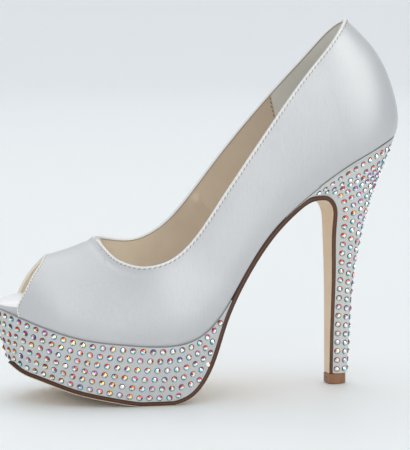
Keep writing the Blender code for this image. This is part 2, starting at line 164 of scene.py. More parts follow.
WAIST_X = (120, 130, 140, 150)
BREAST = table(
    "x z half_width",
    (161, 101.3, 24.2), (167, 101.7, 20.0), (173.2, 100.6, 14.6), (176.7, 97.2, 11.6),
    (178.0, 88.0, 8.6), (178.4, 64.0, 6.6), (178.4, 36.0, 5.2), (178.3, 5.9, 4.1),
)
HEEL = table(
    "breast_run back_z half_width",
    (0, 5.9, 5.2), (22, 28.0, 5.7), (46, 51.6, 6.5), (64, 70.3, 7.6), (80, 88.0, 9.6),
    (88, 99.0, 12.2), (94, 108.5, 15.6), (101, 118.0, 20.0), (110, 126.0, 23.6), (127, 133.2, 25.7),
)
HEEL_BACK = table(
    "z x",
    (5.9, 189.4), (28, 190.6), (51.6, 192.1), (70.3, 194.6), (88.6, 198.5), (109, 204.9),
    (124, 211.4), (133.2, 214.0),
)

tip_low, tip_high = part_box("top_piece")
ORIGIN = np.array((SOLID_TIP_X - tip_low.x / MM, -(tip_low.y + tip_high.y) / 2 / MM, 0))


# Curves of the shoe

def spline(knots, values):
    """Natural cubic through the knots, as a function."""
    count = len(knots)
    step = np.diff(knots)
    matrix = np.eye(count)
    right_side = np.zeros(count)
    for i in range(1, count - 1):
        matrix[i, i - 1:i + 2] = step[i - 1], 2 * (step[i - 1] + step[i]), step[i]
        slope_after = (values[i + 1] - values[i]) / step[i]
        slope_before = (values[i] - values[i - 1]) / step[i - 1]
        right_side[i] = 6 * (slope_after - slope_before)
    bend = np.linalg.solve(matrix, right_side)

    def evaluate(at):
        at = np.clip(at, knots[0], knots[-1])
        i = np.clip(np.searchsorted(knots, at) - 1, 0, count - 2)
        before = at - knots[i]
        after = knots[i + 1] - at
        cubic = (bend[i] * after**3 + bend[i + 1] * before**3) / (6 * step[i])
        start = (values[i] / step[i] - bend[i] * step[i] / 6) * after
        end = (values[i + 1] / step[i] - bend[i + 1] * step[i] / 6) * before
        return cubic + start + end

    return evaluate


def curves_of(source, key):
    """A spline for each column of a table, over its key column."""
    return {name: spline(source[key], values) for name, values in source.items() if name != key}


feather_z = curves_of(FEATHER, "x")["z"]
plan_centre = curves_of(PLAN, "x")["centre"]
plan_half = spline(np.sqrt(PLAN["x"] - TOE_X), PLAN["half_width"])
last = curves_of(LAST, "x")
fullness = curves_of(FULLNESS, "height")
heel_level = curves_of(HEEL, "breast_run")
heel_back_x = curves_of(HEEL_BACK, "z")["x"]
peep = curves_of(PEEP, "angle")
insole_height = curves_of(INSOLE, "x")["height"]
insole_inset = curves_of(INSOLE_SHOULDER, "height_share")["inset"]


def smooth(value, start, end):
    """Smooth step from 0 at the start to 1 at the end."""
    share = np.clip((value - start) / (end - start), 0, 1)
    return share * share * (3 - 2 * share)


def mix(first, second, share):
    """A value between two, by a share of the second."""
    return first + (second - first) * share


def unit(vectors):
    """Vectors scaled to length one."""
    return vectors / np.maximum(np.linalg.norm(vectors, axis=-1, keepdims=True), 1e-12)


def crowded(low, high, count):
    """Stations from the toe, crowded there; low and high are roots of distances from it."""
    return TOE_X + np.linspace(low, high, count) ** 2


def root_of(x):
    """Root of a station's distance from the toe."""
    return math.sqrt(x - TOE_X)


def run_along(points):
    """Distance along a line of points."""
    return np.concatenate(((0,), np.cumsum(np.linalg.norm(np.diff(points, axis=0), axis=1))))


def at_run(at, run, points):
    """Points of a line at distances along it."""
    return np.stack([np.interp(at, run, column) for column in points.T], axis=-1)


def nearest(points, line):
    """Distance of each point from the nearest point of a line, and that point's number."""
    tree = kdtree.KDTree(len(line))
    for k, point in enumerate(line):
        tree.insert(Vector(point), k)
    tree.balance()
    found = [tree.find(Vector(point))[1:] for point in points.reshape(-1, 3)]
    numbers, distances = (np.array(part).reshape(points.shape[:-1]) for part in zip(*found))
    return distances, numbers


def half_width(x):
    """Half width of the feather edge's plan."""
    return plan_half(np.sqrt(np.maximum(x - TOE_X, 0)))


def feather_normal(x):
    """Unit normal of the feather edge in the side view, as x and z."""
    before = np.maximum(x - NORMAL_STEP, TOE_X)
    after = np.minimum(x + NORMAL_STEP, HEEL_BACK_X)
    slope = (feather_z(after) - feather_z(before)) / (after - before)
    size = np.hypot(slope, 1)
    return -slope / size, 1 / size


def under_feather(x):
    """Height of a surface that keeps the gap below the feather edge."""
    return feather_z(x) - GAP / feather_normal(x)[1]


def outline(station, side, inset=0.0):
    """Plan points of the feather edge, set in by a distance."""
    station = np.asarray(station, float)
    front = np.minimum(station, HEEL_CENTRE_X)
    y = plan_centre(front) + side * half_width(front)
    ahead = front + SLOPE_STEP
    rise = (plan_centre(ahead) + side * half_width(ahead) - y) / SLOPE_STEP
    size = np.hypot(rise, 1)
    angle = np.maximum(0, station - HEEL_CENTRE_X) / HEEL_RUN * math.pi / 2
    length = HEEL_BACK_X - HEEL_CENTRE_X
    width = half_width(HEEL_CENTRE_X)
    normal = unit(np.stack((np.sin(angle) / length, np.cos(angle) / width), axis=-1))
    back_x = HEEL_CENTRE_X + length * np.sin(angle) - inset * normal[..., 0]
    back_y = side * (width * np.cos(angle) - inset * normal[..., 1])
    behind = station > HEEL_CENTRE_X
    x = np.where(behind, back_x, front + inset * rise * side / size)
    return x, np.where(behind, back_y, y - side * inset / size)


def last_points(station, side, angle):
    """Points of the last's outside; the angle runs from the feather edge to the crest."""
    x = np.minimum(station, HEEL_CENTRE_X)
    foot_x, foot_y = outline(station, side)
    base = np.stack((x, last["crest_y"](x), feather_z(x)), axis=-1)
    reach = np.stack((foot_x, foot_y, feather_z(foot_x)), axis=-1) - base
    lean = np.radians(last["lean"](x))
    rise = np.stack((-np.sin(lean), np.zeros_like(lean), np.cos(lean)), axis=-1)
    power = last[LABELS[side] + "_power"](x)
    height = last["crest_height"](x) * np.sin(angle) ** power
    back_share = np.maximum(0, (station - HEEL_CENTRE_X) / HEEL_RUN)
    turn = np.sin(back_share * math.pi / 2) ** 2
    toe_share = np.minimum(1, station / PEEP["outer_x"][-1])
    swell = fullness["side"](height) * toe_share * (1 - turn) + fullness["back"](height) * turn
    out = unit(reach)
    return base + (reach + swell[..., None] * out) * np.cos(angle)[..., None] + rise * height[..., None]


def topline_angle(station, side):
    """Angle at which the topline cuts the last's section."""
    throat = last_points(np.array(THROAT_X), side, np.array(math.pi / 2))
    heights = TOPLINE[LABELS[side] + "_z"]
    limit = spline(np.append(throat[0], TOPLINE["x"]), np.append(throat[2], heights))
    low = np.zeros_like(station)
    high = np.full_like(station, math.pi / 2)
    for _ in range(BISECTIONS):
        middle = (low + high) / 2
        x, _, z = np.moveaxis(last_points(station, side, middle), -1, 0)
        drop = mix(THROAT_DROP, QUARTER_DROP, smooth(x, *DROP_RUN_X))
        above = z > limit(x) - drop * (1 - smooth(x, DROP_FADE_X, TOPLINE["x"][-1]))
        high = np.where(above, middle, high)
        low = np.where(above, low, middle)
    return (low + high) / 2


# Pieces

def to_frame(points):
    """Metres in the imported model's frame."""
    return (np.asarray(points, float).reshape(-1, 3) - ORIGIN) * MM


def add_object(name, data):
    """A new object in the scene."""
    made = bpy.data.objects.new(name, data)
    bpy.context.scene.collection.objects.link(made)
    return made


def make_piece(name, shape, materials, replaces=(), sharp_deg=40.0, face_material=None, colours=None,
               bands=None):
    """One closed mesh piece, from its points and faces, that rides on the shoe."""
    points, faces = shape
    mesh = bpy.data.meshes.new(name)
    mesh.from_pydata(to_frame(points).tolist(), [], [list(map(int, face)) for face in faces])
    for material in materials:
        mesh.materials.append(material)
    if face_material is not None:
        mesh.polygons.foreach_set("material_index", np.asarray(face_material, np.int32))
    if colours is not None:
        paint = mesh.color_attributes.new("facet", "FLOAT_COLOR", "CORNER")
        counts = [len(face) for face in faces]
        paint.data.foreach_set("color", np.repeat(np.asarray(colours, np.float32), counts, axis=0).ravel())
    if bands is not None:
        paint = mesh.attributes.new("band", "FLOAT", "POINT")
        paint.data.foreach_set("value", np.asarray(bands, np.float32))
    edit = bmesh.new()
    edit.from_mesh(mesh)
    bmesh.ops.recalc_face_normals(edit, faces=edit.faces)
    edit.to_mesh(mesh)
    edit.free()
    mesh.shade_smooth()
    mesh.set_sharp_from_angle(angle=math.radians(sharp_deg))
    piece = add_object(name, mesh)
    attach(piece, "root")
    if replaces:
        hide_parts(*replaces)
    return piece


def quads(index):
    """Faces between the neighbouring rows and columns of a grid of point numbers."""
    corners = (index[:-1, :-1], index[:-1, 1:], index[1:, 1:], index[1:, :-1])
    return np.stack(corners, axis=-1).reshape(-1, 4).tolist()


def loft(rings, closed=False):
    """Closed shape through rings; its ends are capped unless the loft runs round."""
    rings = np.asarray(rings)
    ring_count, count = rings.shape[:2]
    index = np.arange(ring_count * count).reshape(ring_count, count)
    faces = quads(np.pad(index, ((0, int(closed)), (0, 1)), mode="wrap"))
    for ring in () if closed else index[[0, -1]]:
        for j in range((count - 1) // 2):
            cap = (ring[j], ring[j + 1], ring[-2 - j], ring[-1 - j])
            faces.append(list(dict.fromkeys(cap)))
    return rings.reshape(-1, 3), faces


def patch(outside, inside):
    """Closed patch between two grids of points."""
    size = outside.shape[0] * outside.shape[1]
    index = np.arange(size).reshape(outside.shape[:2])
    border = np.concatenate((index[:-1, 0], index[-1, :-1], index[:0:-1, -1], index[0, ::-1]))
    faces = quads(index) + quads(index + size) + quads(np.stack((border, border + size)))
    return np.concatenate((outside.reshape(-1, 3), inside.reshape(-1, 3))), faces


def joined(shapes):
    """One shape from several."""
    points, faces, start = [], [], 0
    for shape_points, shape_faces in shapes:
        points.append(shape_points)
        faces += [[start + k for k in face] for face in shape_faces]
        start += len(shape_points)
    return np.concatenate(points), faces


def circle(count):
    """Cosines and sines of even turns."""
    turn = np.linspace(0, 2 * math.pi, count, endpoint=False)
    return np.stack((np.cos(turn), np.sin(turn)))


def rings_along(points, across, up, section):
    """Rings on a line; the section's offsets across and up are the same all along, or a row to a point."""
    by_across, by_up = (np.asarray(offsets)[..., None] for offsets in section)
    return points[:, None] + by_across * across[:, None] + by_up * up[:, None]


def paired_ring(outer_side, inner_side):
    """One ring from the outer side's points and the inner side's, both listed top to bottom."""
    return np.concatenate((outer_side, inner_side[::-1]))


# Procedural materials

def fill(tree, made, values):
    """Set a node's inputs, by a value or by a link from a socket, and its properties."""
    for key, value in values.items():
        name = key.replace("_", " ")
        if name not in made.inputs:
            setattr(made, key, value)
        elif isinstance(value, bpy.types.NodeSocket):
            tree.links.new(value, made.inputs[name])
        else:
            made.inputs[name].default_value = value


def node(tree, kind, **values):
    """A node with its inputs and properties set."""
    made = tree.nodes.new(kind)
    fill(tree, made, values)
    return made


def new_material(name, colour, roughness, **sockets):
    """Principled material with constants set on its own sockets."""
    material = bpy.data.materials.new(name)
    material.use_nodes = True
    tree = material.node_tree
    shader = tree.nodes["Principled BSDF"]
    fill(tree, shader, {"Base Color": (*colour, 1), "Roughness": roughness, **sockets})
    return material, tree, shader


def object_coordinates(tree, stretch=(1, 1, 1), turn=(0, 0, 0)):
    """Object coordinates in metres, stretched and turned."""
    place = node(tree, "ShaderNodeTexCoord").outputs["Object"]
    return node(tree, "ShaderNodeMapping", Vector=place, Scale=stretch, Rotation=turn).outputs["Vector"]


def coordinate(tree, axis):
    """One object coordinate in metres."""
    return node(tree, "ShaderNodeSeparateXYZ", Vector=object_coordinates(tree)).outputs[axis]


def noise_node(tree, scale, detail=3.0, roughness=0.55, **mapping):
    """Noise over object coordinates."""
    place = object_coordinates(tree, **mapping)
    return node(tree, "ShaderNodeTexNoise", Vector=place, Scale=scale, Detail=detail,
                Roughness=roughness).outputs["Fac"]


def weave_node(tree, pitch, turn):
    """Fine ribs of floats or twisted thread, in metres of pitch."""
    place = object_coordinates(tree, turn=turn)
    ribs = node(tree, "ShaderNodeTexWave", Vector=place, Scale=WAVE_SCALE / pitch, **WEAVE_WANDER)
    return ribs.outputs["Fac"]


def sum_node(tree, first, second, share=1.0):
    """A share of the first factor added to the second."""
    made = node(tree, "ShaderNodeMath", operation="MULTIPLY_ADD")
    made.inputs[1].default_value = share
    tree.links.new(first, made.inputs[0])
    tree.links.new(second, made.inputs[2])
    return made.outputs[0]


def ramp_node(tree, factor, *stops):
    """Colour ramp through (place, colour) stops."""
    made = node(tree, "ShaderNodeValToRGB", Fac=factor)
    elements = made.color_ramp.elements
    while len(elements) < len(stops):
        elements.new(0.5)
    for element, (place, colour) in zip(elements, stops):
        element.position = place
        element.color = (*colour, 1)
    return made.outputs["Color"]


def range_node(tree, factor, low, high, start=0.0, end=1.0):
    """A factor from its start to its end mapped to a range."""
    return node(tree, "ShaderNodeMapRange", Value=factor, To_Min=low, To_Max=high, From_Min=start,
                From_Max=end).outputs["Result"]


def bump(tree, shader, *layers):
    """Stacked bumps; each layer is (height socket, distance in metres, strength)."""
    normal = {}
    for height, distance, strength in layers:
        made = node(tree, "ShaderNodeBump", Height=height, Distance=distance, Strength=strength, **normal)
        normal = {"Normal": made.outputs["Normal"]}
    fill(tree, shader, normal)


WAVE_SCALE = math.pi / 10      # of the wave texture, for one rib to a metre
WEAVE_WANDER = {"Distortion": 1.6, "Detail": 2.0, "Detail_Scale": 0.6}
TWO_TONES = (0.3, 0.7)         # stops of a shade and a colour
SATIN_CLOUDS = {"scale": 55.0, "detail": 4.0}
SATIN_STREAKS = {"scale": 620.0, "detail": 4.0, "roughness": 0.7, "stretch": (1, 1, 0.12),
                 "turn": (0, 0.1, 0)}
SATIN_FLOATS = {"scale": 420.0, "detail": 2.0, "stretch": (1, 1, 6), "turn": (0, 0.6, 0)}
SATIN_WEAVE = {"pitch": 0.00042, "turn": (0, 0.7, 0)}
SATIN_SPREAD = 0.07            # of the roughness, to each side
CLOUD_BUMP = (0.0006, 0.35)    # distance in metres and strength
STREAK_BUMP = (0.0002, 0.5)
WEAVE_BUMP = (0.00003, 0.5)
FLOAT_BUMP = (0.00004, 0.5)
LEATHER_DYE = {"scale": 45.0, "detail": 5.0}
DYE_RANGE = (0.3, 0.7)
DYE_TONES = (0.43, 0.57)
# Painted light: the leather's tone is pushed paler toward the front of the shoe, where it is lit
FRONT_PAINTED_LIGHT = 0.5
FRONT_PAINTED_LIGHT_X = (-0.045, -0.006)  # metres in the frame
PORE_FINENESS = 1.7            # pores to a cell of the grain
LEATHER_SPREAD = 0.08
GRAIN_STRENGTH = 0.6
PORE_STRENGTH = 0.3
THREAD_TWIST = {"pitch": 0.00022, "turn": (0.4, 0.9, 0.3)}
THREAD_BUMP = (0.00006, 0.7)
EDGE_STREAKS = {"scale": 260.0, "detail": 4.0}
EDGE_STREAK_SHARE = 0.3
EDGE_BUMP = (0.00015, 0.4)
EDGE_TONES = (                 # across the sole's edge, with a painted highlight as a lighter line along its middle
    (0.2, (0.055, 0.021, 0.012)), (0.5, (0.07, 0.027, 0.015)), (0.66, (0.15, 0.065, 0.036)),
    (0.82, (0.065, 0.025, 0.014)), (1.0, (0.08, 0.033, 0.019)),
)
STONE_HAZE = {"scale": 1500.0, "detail": 2.0}
STONE_ROUGHNESS = (0.12, 0.24)


def satin(name, colour, shade, roughness, sheen, gloss=0.5, relief=1.0):
    """Satin with fine floats, soft cloudy shading and a sheen."""
    material, tree, shader = new_material(
        name, colour, roughness, Sheen_Weight=sheen, Sheen_Roughness=0.4, Specular_IOR_Level=gloss,
        Anisotropic=0.4)
    clouds = noise_node(tree, **SATIN_CLOUDS)
    streaks = noise_node(tree, **SATIN_STREAKS)
    floats = noise_node(tree, **SATIN_FLOATS)
    mottle = range_node(tree, sum_node(tree, clouds, streaks), 0.0, 0.5)
    fill(tree, shader, {
        "Base Color": ramp_node(tree, mottle, *zip(TWO_TONES, (shade, colour))),
        "Roughness": range_node(tree, floats, roughness - SATIN_SPREAD, roughness + SATIN_SPREAD),
    })
    fine = min(1, 2 * relief)
    layers = ((clouds, CLOUD_BUMP, relief), (streaks, STREAK_BUMP, relief),
              (weave_node(tree, **SATIN_WEAVE), WEAVE_BUMP, fine), (floats, FLOAT_BUMP, fine))
    bump(tree, shader, *((height, distance, strength * share)
                         for height, (distance, strength), share in layers))
    return material


def leather(name, colour, shade, roughness, grain=900.0, depth=0.00005, front=None):
    """Leather with fine grain, unevenly dyed; given a front colour, it is painted paler toward the front of
    the shoe, as painted light where it is lit.
    """
    material, tree, shader = new_material(name, colour, roughness, Specular_IOR_Level=0.4)
    dye_and_painted_light = range_node(tree, noise_node(tree, **LEATHER_DYE), *DYE_RANGE)
    stops = list(zip(DYE_TONES, (shade, colour)))
    # The front colour is painted light: a paler tone toward the front, where the leather is lit
    if front:
        dye_and_painted_light = sum_node(tree, dye_and_painted_light, range_node(tree, coordinate(tree, "X"), FRONT_PAINTED_LIGHT, 0.0, *FRONT_PAINTED_LIGHT_X))
        stops.append((1.0, front))
    cells = node(tree, "ShaderNodeTexVoronoi", Vector=object_coordinates(tree), Scale=grain)
    pores = noise_node(tree, grain * PORE_FINENESS, detail=2.0)
    fill(tree, shader, {
        "Base Color": ramp_node(tree, dye_and_painted_light, *stops),
        "Roughness": range_node(tree, pores, roughness - LEATHER_SPREAD, roughness + LEATHER_SPREAD),
    })
    bump(tree, shader, (cells.outputs["Distance"], depth, GRAIN_STRENGTH), (pores, depth, PORE_STRENGTH))
    return material


def thread(name, colour, shade):
    """Sewing thread or cord with its twist."""
    material, tree, shader = new_material(name, colour, roughness=0.7, Sheen_Weight=0.3)
    twist = weave_node(tree, **THREAD_TWIST)
    fill(tree, shader, {"Base Color": ramp_node(tree, twist, *zip(TWO_TONES, (shade, colour)))})
    bump(tree, shader, (twist, *THREAD_BUMP))
    return material


def sole_edge():
    """Dark stained edge with a painted highlight as a lighter line along its middle."""
    material, tree, shader = new_material(
        "sole_edge", (0.10, 0.045, 0.028), roughness=0.55, Specular_IOR_Level=0.25)
    place = node(tree, "ShaderNodeAttribute", attribute_name="band").outputs["Fac"]
    streaks = noise_node(tree, **EDGE_STREAKS)
    shift = sum_node(tree, streaks, place, EDGE_STREAK_SHARE)
    fill(tree, shader, {"Base Color": ramp_node(tree, shift, *EDGE_TONES)})
    bump(tree, shader, (streaks, *EDGE_BUMP))
    return material


def stone_coating_and_painted_glints():
    """Faceted glass with a coloured coating, one colour to a facet: painted reflections and highlights of the
    coating, which also glow faintly as painted light.
    """
    material, tree, shader = new_material(
        "stone_coating_and_painted_glints", (0.8, 0.8, 0.8), roughness=0.15, Metallic=0.75, Coat_Weight=0.05,
        Coat_Roughness=0.05, Specular_IOR_Level=0.7, Emission_Strength=0.22)
    facet = node(tree, "ShaderNodeAttribute", attribute_name="facet").outputs["Color"]
    haze = range_node(tree, noise_node(tree, **STONE_HAZE), *STONE_ROUGHNESS)
    # The facet colours also glow faintly, as painted light
    fill(tree, shader, {"Base Color": facet, "Emission Color": facet, "Roughness": haze})
    return material


WHITE_SATIN = satin("white_satin", (0.58, 0.59, 0.595), (0.53, 0.54, 0.547),
                    roughness=0.34, sheen=0.12, gloss=1.0)
# The pad's satin is painted far brighter than the upper's, as a painted highlight on the pad's top
PAD_SATIN_PAINTED_HIGHLIGHT = satin("pad_satin_painted_highlight", (0.97, 0.97, 0.97), (0.95, 0.95, 0.95),
                  roughness=0.22, sheen=0.45, gloss=1.0, relief=0.1)
# The folded edges' satin is painted brighter than the upper's, as a painted highlight along them
FOLD_SATIN_PAINTED_HIGHLIGHT = satin("fold_satin_painted_highlight", (0.80, 0.795, 0.78), (0.75, 0.745, 0.73),
                   roughness=0.34, sheen=0.1, gloss=0.8)
PLATFORM_SATIN = satin("platform_satin", (0.63, 0.642, 0.644), (0.565, 0.577, 0.58),
                       roughness=0.45, sheen=0.1)
HEEL_SATIN = satin("heel_satin", (0.70, 0.71, 0.695), (0.63, 0.64, 0.625), roughness=0.45, sheen=0.1)
# The lining's front colour is painted light at the lit throat
LINING = leather("lining_leather", (0.70, 0.58, 0.445), (0.65, 0.53, 0.40), 0.48, front=(0.97, 0.85, 0.67))
HEEL_GRIP = leather("grip_suede", (0.79, 0.775, 0.715), (0.73, 0.715, 0.655), 0.85,
                    grain=1500.0, depth=0.00008)
SOLE_LEATHER = leather("sole_leather", (0.83, 0.672, 0.50), (0.77, 0.61, 0.445), 0.5, grain=700.0)
TIP_PLASTIC = leather("tip_plastic", (0.335, 0.158, 0.069), (0.28, 0.126, 0.054), 0.45,
                      grain=1600.0, depth=0.00002)
SOLE_EDGE = sole_edge()
STONE = stone_coating_and_painted_glints()
THREAD = thread("thread", (0.38, 0.345, 0.29), (0.25, 0.22, 0.18))
PEEP_THREAD = thread("peep_thread", (0.52, 0.49, 0.44), (0.40, 0.37, 0.33))
GRIP_THREAD = thread("grip_thread", (0.16, 0.12, 0.09), (0.09, 0.065, 0.05))
# The welt cord is coloured dark grey as painted shade in the seam
WELT_PAINTED_SHADE = thread("welt_cord_painted_shade", (0.30, 0.30, 0.29), (0.22, 0.22, 0.215))
# The seam cord's dark colour is partly the seam and partly painted shade under the collar's rim
SEAM_AND_SHADE = thread("seam_and_shade_cord", (0.20, 0.13, 0.09), (0.14, 0.09, 0.062))
SEAT_CORD = thread("seat_cord", (0.21, 0.19, 0.165), (0.15, 0.135, 0.12))
PIN = thread("pin_steel", (0.03, 0.02, 0.015), (0.02, 0.014, 0.01))

# Upper: satin outside and leather lining

SATIN_DEPTH = 0.75
LINING_DEPTH = 0.85
UNEVEN = 0.10                  # swell of the satin's slow unevenness
UNEVEN_SCALE = 0.055
TROUGH_PLACE = 3.9             # shaded hollow beside the stitching
TROUGH_WIDTH = 1.5
TROUGH_THROAT = 0.36
TROUGH_QUARTER = 0.10
TROUGH_PEEP = 0.14
TROUGH_RUN = (22.0, 60.0)
TURN_UNDER = 0.55              # satin drawn under at the feather edge
TURN_RUN = 1.5
BAND_FROM_X = 164.0            # folded band between the counter and the heel
BAND_EASE = 12.0
BAND_LOW = 0.15
BAND_RISE = 1.15               # its top climbs above the feather edge toward the back
BAND_RISE_X = (192.0, 211.0)
LINING_FOLD_FROM = (111.5, 99.8)
LINING_FOLD_TO = (121.0, 92.5)
LINING_FOLD_RISE = 3.0
LINING_FOLD_WIDTH = 3.0
FOLD_STEP = 0.4
FEWEST_STEPS = 8


def upper_stations():
    """Stations of the upper's rows behind the vamp."""
    to_throat = np.linspace(VAMP_END_X, THROAT_X, TO_THROAT_ROWS + 1)[1:]
    shares = np.linspace(0, 1, THROAT_ROWS + 1)[1:] ** THROAT_CROWDING
    around_throat = mix(THROAT_X, THROAT_END_X, shares)
    quarter = np.linspace(THROAT_END_X, HEEL_CENTRE_X, QUARTER_ROWS + 1)[1:]
    counter = np.linspace(HEEL_CENTRE_X, HEEL_CENTRE_X + HEEL_RUN, COUNTER_ROWS + 1)[1:]
    return np.concatenate((to_throat, around_throat, quarter, counter))


def row_at(station):
    """Number of the upper's first row past a station behind the vamp."""
    return VAMP_ROWS + 1 + int(np.searchsorted(upper_stations(), station))


def upper_grid(side):
    """Outside points of one side, rows from the peep toe to the back seam."""
    shares = np.linspace(0, 1, UPPER_COLUMNS + 1) ** COLUMN_CROWDING
    starts = peep[LABELS[side] + "_x"](shares * PEEP["angle"][-1])
    vamp = mix(starts, VAMP_END_X, np.linspace(0, 1, VAMP_ROWS + 1)[:, None])
    stations = upper_stations()
    tops = np.full_like(stations, math.pi / 2)
    behind = stations > THROAT_X
    tops[behind] = topline_angle(stations[behind], side)
    stations = np.vstack((vamp, np.repeat(stations[:, None], len(shares), axis=1)))
    tops = np.concatenate((np.full(VAMP_ROWS + 1, math.pi / 2), tops))
    return last_points(stations, side, tops[:, None] * shares)


def upper_normals(grids):
    """Outward normals of both sides, made equal along the crest and the back seam."""
    normals = {}
    for side in SIDES:
        along, across = np.gradient(grids[side], axis=(0, 1))
        normals[side] = unit(np.cross(along, across) * -side)
    crest = unit(normals[OUTER][:THROAT_ROW + 1, -1] + normals[INNER][:THROAT_ROW + 1, -1])
    seam = unit(normals[OUTER][-1] + normals[INNER][-1])
    for side in SIDES:
        normals[side][:THROAT_ROW + 1, -1] = crest
        normals[side][-1] = seam
    return normals


def shell(outside, inside):
    """Closed shell between two layers of the upper's grids, joined along the crest and the back seam."""
    own = np.ones(outside[OUTER].shape[:2], bool)
    own[-1] = False
    own[:THROAT_ROW + 1, -1] = False
    outer = np.arange(own.size).reshape(own.shape)
    inner = outer.copy()
    inner[own] = own.size + np.arange(own.sum())
    size = own.size + own.sum()
    points, faces = [], []
    for surface in (outside, inside):
        points += [surface[OUTER].reshape(-1, 3), surface[INNER][own]]
    for index in (outer, inner):
        faces += quads(index) + quads(index + size)
        for edge in (index[:, 0], index[THROAT_ROW:, -1], index[0]):
            faces += quads(np.stack((edge, edge + size)))
    return np.concatenate(points), faces


def resample(columns, step, closed):
    """Columns of an edge's points at an even step along it, with the run."""
    if closed:
        columns = [np.vstack((column, column[:1])) for column in columns]
    run = run_along(columns[0])
    count = max(FEWEST_STEPS, round(run[-1] / step))
    at = np.linspace(0, run[-1], count + 1)
    if closed:
        at = at[:-1]
    return at, [at_run(at, run, column) for column in columns]


def edge_frame(points, out, closed):
    """Run, even points, tangent, outward normal and inward direction of an edge."""
    run, (points, out) = resample([points, out], FOLD_STEP, closed)
    if closed:
        tangent = unit(np.roll(points, -1, axis=0) - np.roll(points, 1, axis=0))
    else:
        tangent = unit(np.gradient(points, axis=0))
    out = unit(out - np.sum(out * tangent, axis=1, keepdims=True) * tangent)
    return run, points, tangent, out, np.cross(tangent, out)


def round_back(of, first_row, columns):
    """Part of the upper's grids, from a row of the outer side round the back seam to the inner side's."""
    return np.concatenate((of[OUTER][first_row:, columns], of[INNER][first_row:-1, columns][::-1]))


def collar_line(of):
    """Collar's line of the upper's grids, from the throat along the outer side and back."""
    return round_back(of, THROAT_ROW, -1)[:-1]


def mouth_line(of):
    """Peep toe's line of the upper's grids, from the outer to the inner foot."""
    return np.vstack((of[OUTER][0], of[INNER][0, :-1][::-1]))


grids = {side: upper_grid(side) for side in SIDES}
normals = upper_normals(grids)
collar = edge_frame(collar_line(grids), collar_line(normals), True)
mouth = edge_frame(mouth_line(grids), mouth_line(normals), False)


def band_height(x):
    """Height of the folded band above the heel seat."""
    return (BAND_LOW + BAND_RISE * smooth(x, *BAND_RISE_X)) * smooth(x, BAND_FROM_X - BAND_EASE, BAND_FROM_X)


def satin_relief(side):
    """Offsets of the satin along its normals: slow waves, stitched troughs and turned-under foot."""
    grid = grids[side]
    waves = np.array([noise.noise(Vector(point * UNEVEN_SCALE)) for point in grid.reshape(-1, 3)])
    relief = UNEVEN * waves.reshape(grid.shape[:2])
    collar_away, spots = nearest(grid, collar[1])
    run = collar[0][spots]
    near_throat = 1 - smooth(np.minimum(run, collar[0][-1] - run), *TROUGH_RUN)
    collar_depth = mix(TROUGH_QUARTER, TROUGH_THROAT, near_throat)
    for away, depth in ((collar_away, collar_depth), (nearest(grid, mouth[1])[0], TROUGH_PEEP)):
        relief -= depth * np.exp(-((away - TROUGH_PLACE) / TROUGH_WIDTH) ** 2)
    climb = np.linalg.norm(np.diff(grid, axis=1), axis=2)
    climb = np.concatenate((np.zeros((len(grid), 1)), np.cumsum(climb, axis=1)), axis=1)
    above = climb - band_height(grid[:, :1, 0])
    return relief - TURN_UNDER * (1 - smooth(above, 0, TURN_RUN))


def lining_rise(side):
    """Offsets of the lining: the soft fold seen on the inner side."""
    spot = grids[side][..., (0, 2)] - LINING_FOLD_FROM
    way = np.subtract(LINING_FOLD_TO, LINING_FOLD_FROM)
    share = np.clip(spot @ way / (way @ way), 0, 1)
    away = np.linalg.norm(spot - share[..., None] * way, axis=-1)
    return -LINING_FOLD_RISE * np.exp(-(away / LINING_FOLD_WIDTH) ** 2) * (side == INNER)


def layer(depth, offsets=None):
    """The upper's grids at a depth below the outside, with offsets along the normals."""
    shifts = {side: -depth if offsets is None else offsets[side][..., None] - depth for side in SIDES}
    return {side: grids[side] + shifts[side] * normals[side] for side in SIDES}


relief = {side: satin_relief(side) for side in SIDES}
turned = {side: np.minimum(relief[side], 0) for side in SIDES}
lining_relief = {side: lining_rise(side) for side in SIDES}
make_piece("upper_satin", shell(layer(0.0, relief), layer(SATIN_DEPTH, turned)), [WHITE_SATIN],
           replaces=("upper",))
make_piece("upper_lining", shell(layer(LINING_DEPTH, turned), layer(WALL, lining_relief)), [LINING])

# Folded edges with their stitching

COLLAR_SECTION = table(
    "inward out",
    (1.65, -0.30), (1.45, 0.02), (1.2, 0.18), (0.85, 0.27), (0.45, 0.27), (0.1, 0.14), (-0.12, -0.2),
    (-0.2, -0.8), (-0.14, -1.4), (0.02, -1.72), (0.15, -1.80), (0.3, -1.80), (0.4, -1.68), (0.45, -1.3),
)
PEEP_SECTION = table(
    "inward out",
    (1.2, -0.30), (1.05, 0.02), (0.85, 0.16), (0.6, 0.22), (0.3, 0.2), (0.05, 0.1), (-0.1, -0.1),
    (-0.16, -0.4), (-0.12, -0.75), (0, -0.95), (0.3, -1.0), (0.5, -0.9),
)
PUCKER = 0.45                  # share by which the fold swells between stitches
STITCH_INWARD = 1.42
PEEP_STITCH_INWARD = 0.95
STITCH_OUT = 0.05
STITCH_SLANT = math.radians(14)
STITCH_RADIUS = 0.24
STITCH_END = 0.35              # share of the radius left at a stitch's ends
STITCH_ARCH = 0.22
STITCH_SINK = 0.12
STITCH_RINGS = 7
STITCH_SIDES = 6
STITCH_SHARE = 0.6             # thread seen, as a share of the pitch
QUARTER_PITCH = 2.6
THROAT_PITCH = 1.9
THROAT_STITCH_RUN = (12.0, 40.0)
THROAT_BARE = 2.6              # no stitches over the crest at the throat and the peep toe
PEEP_BARE = 4.0
SEAM_INWARD = 0.55             # thin dark cord inside the collar: the lining's seam and painted shade under the rim
SEAM_OUT = -1.66
SEAM_RADIUS = 0.14


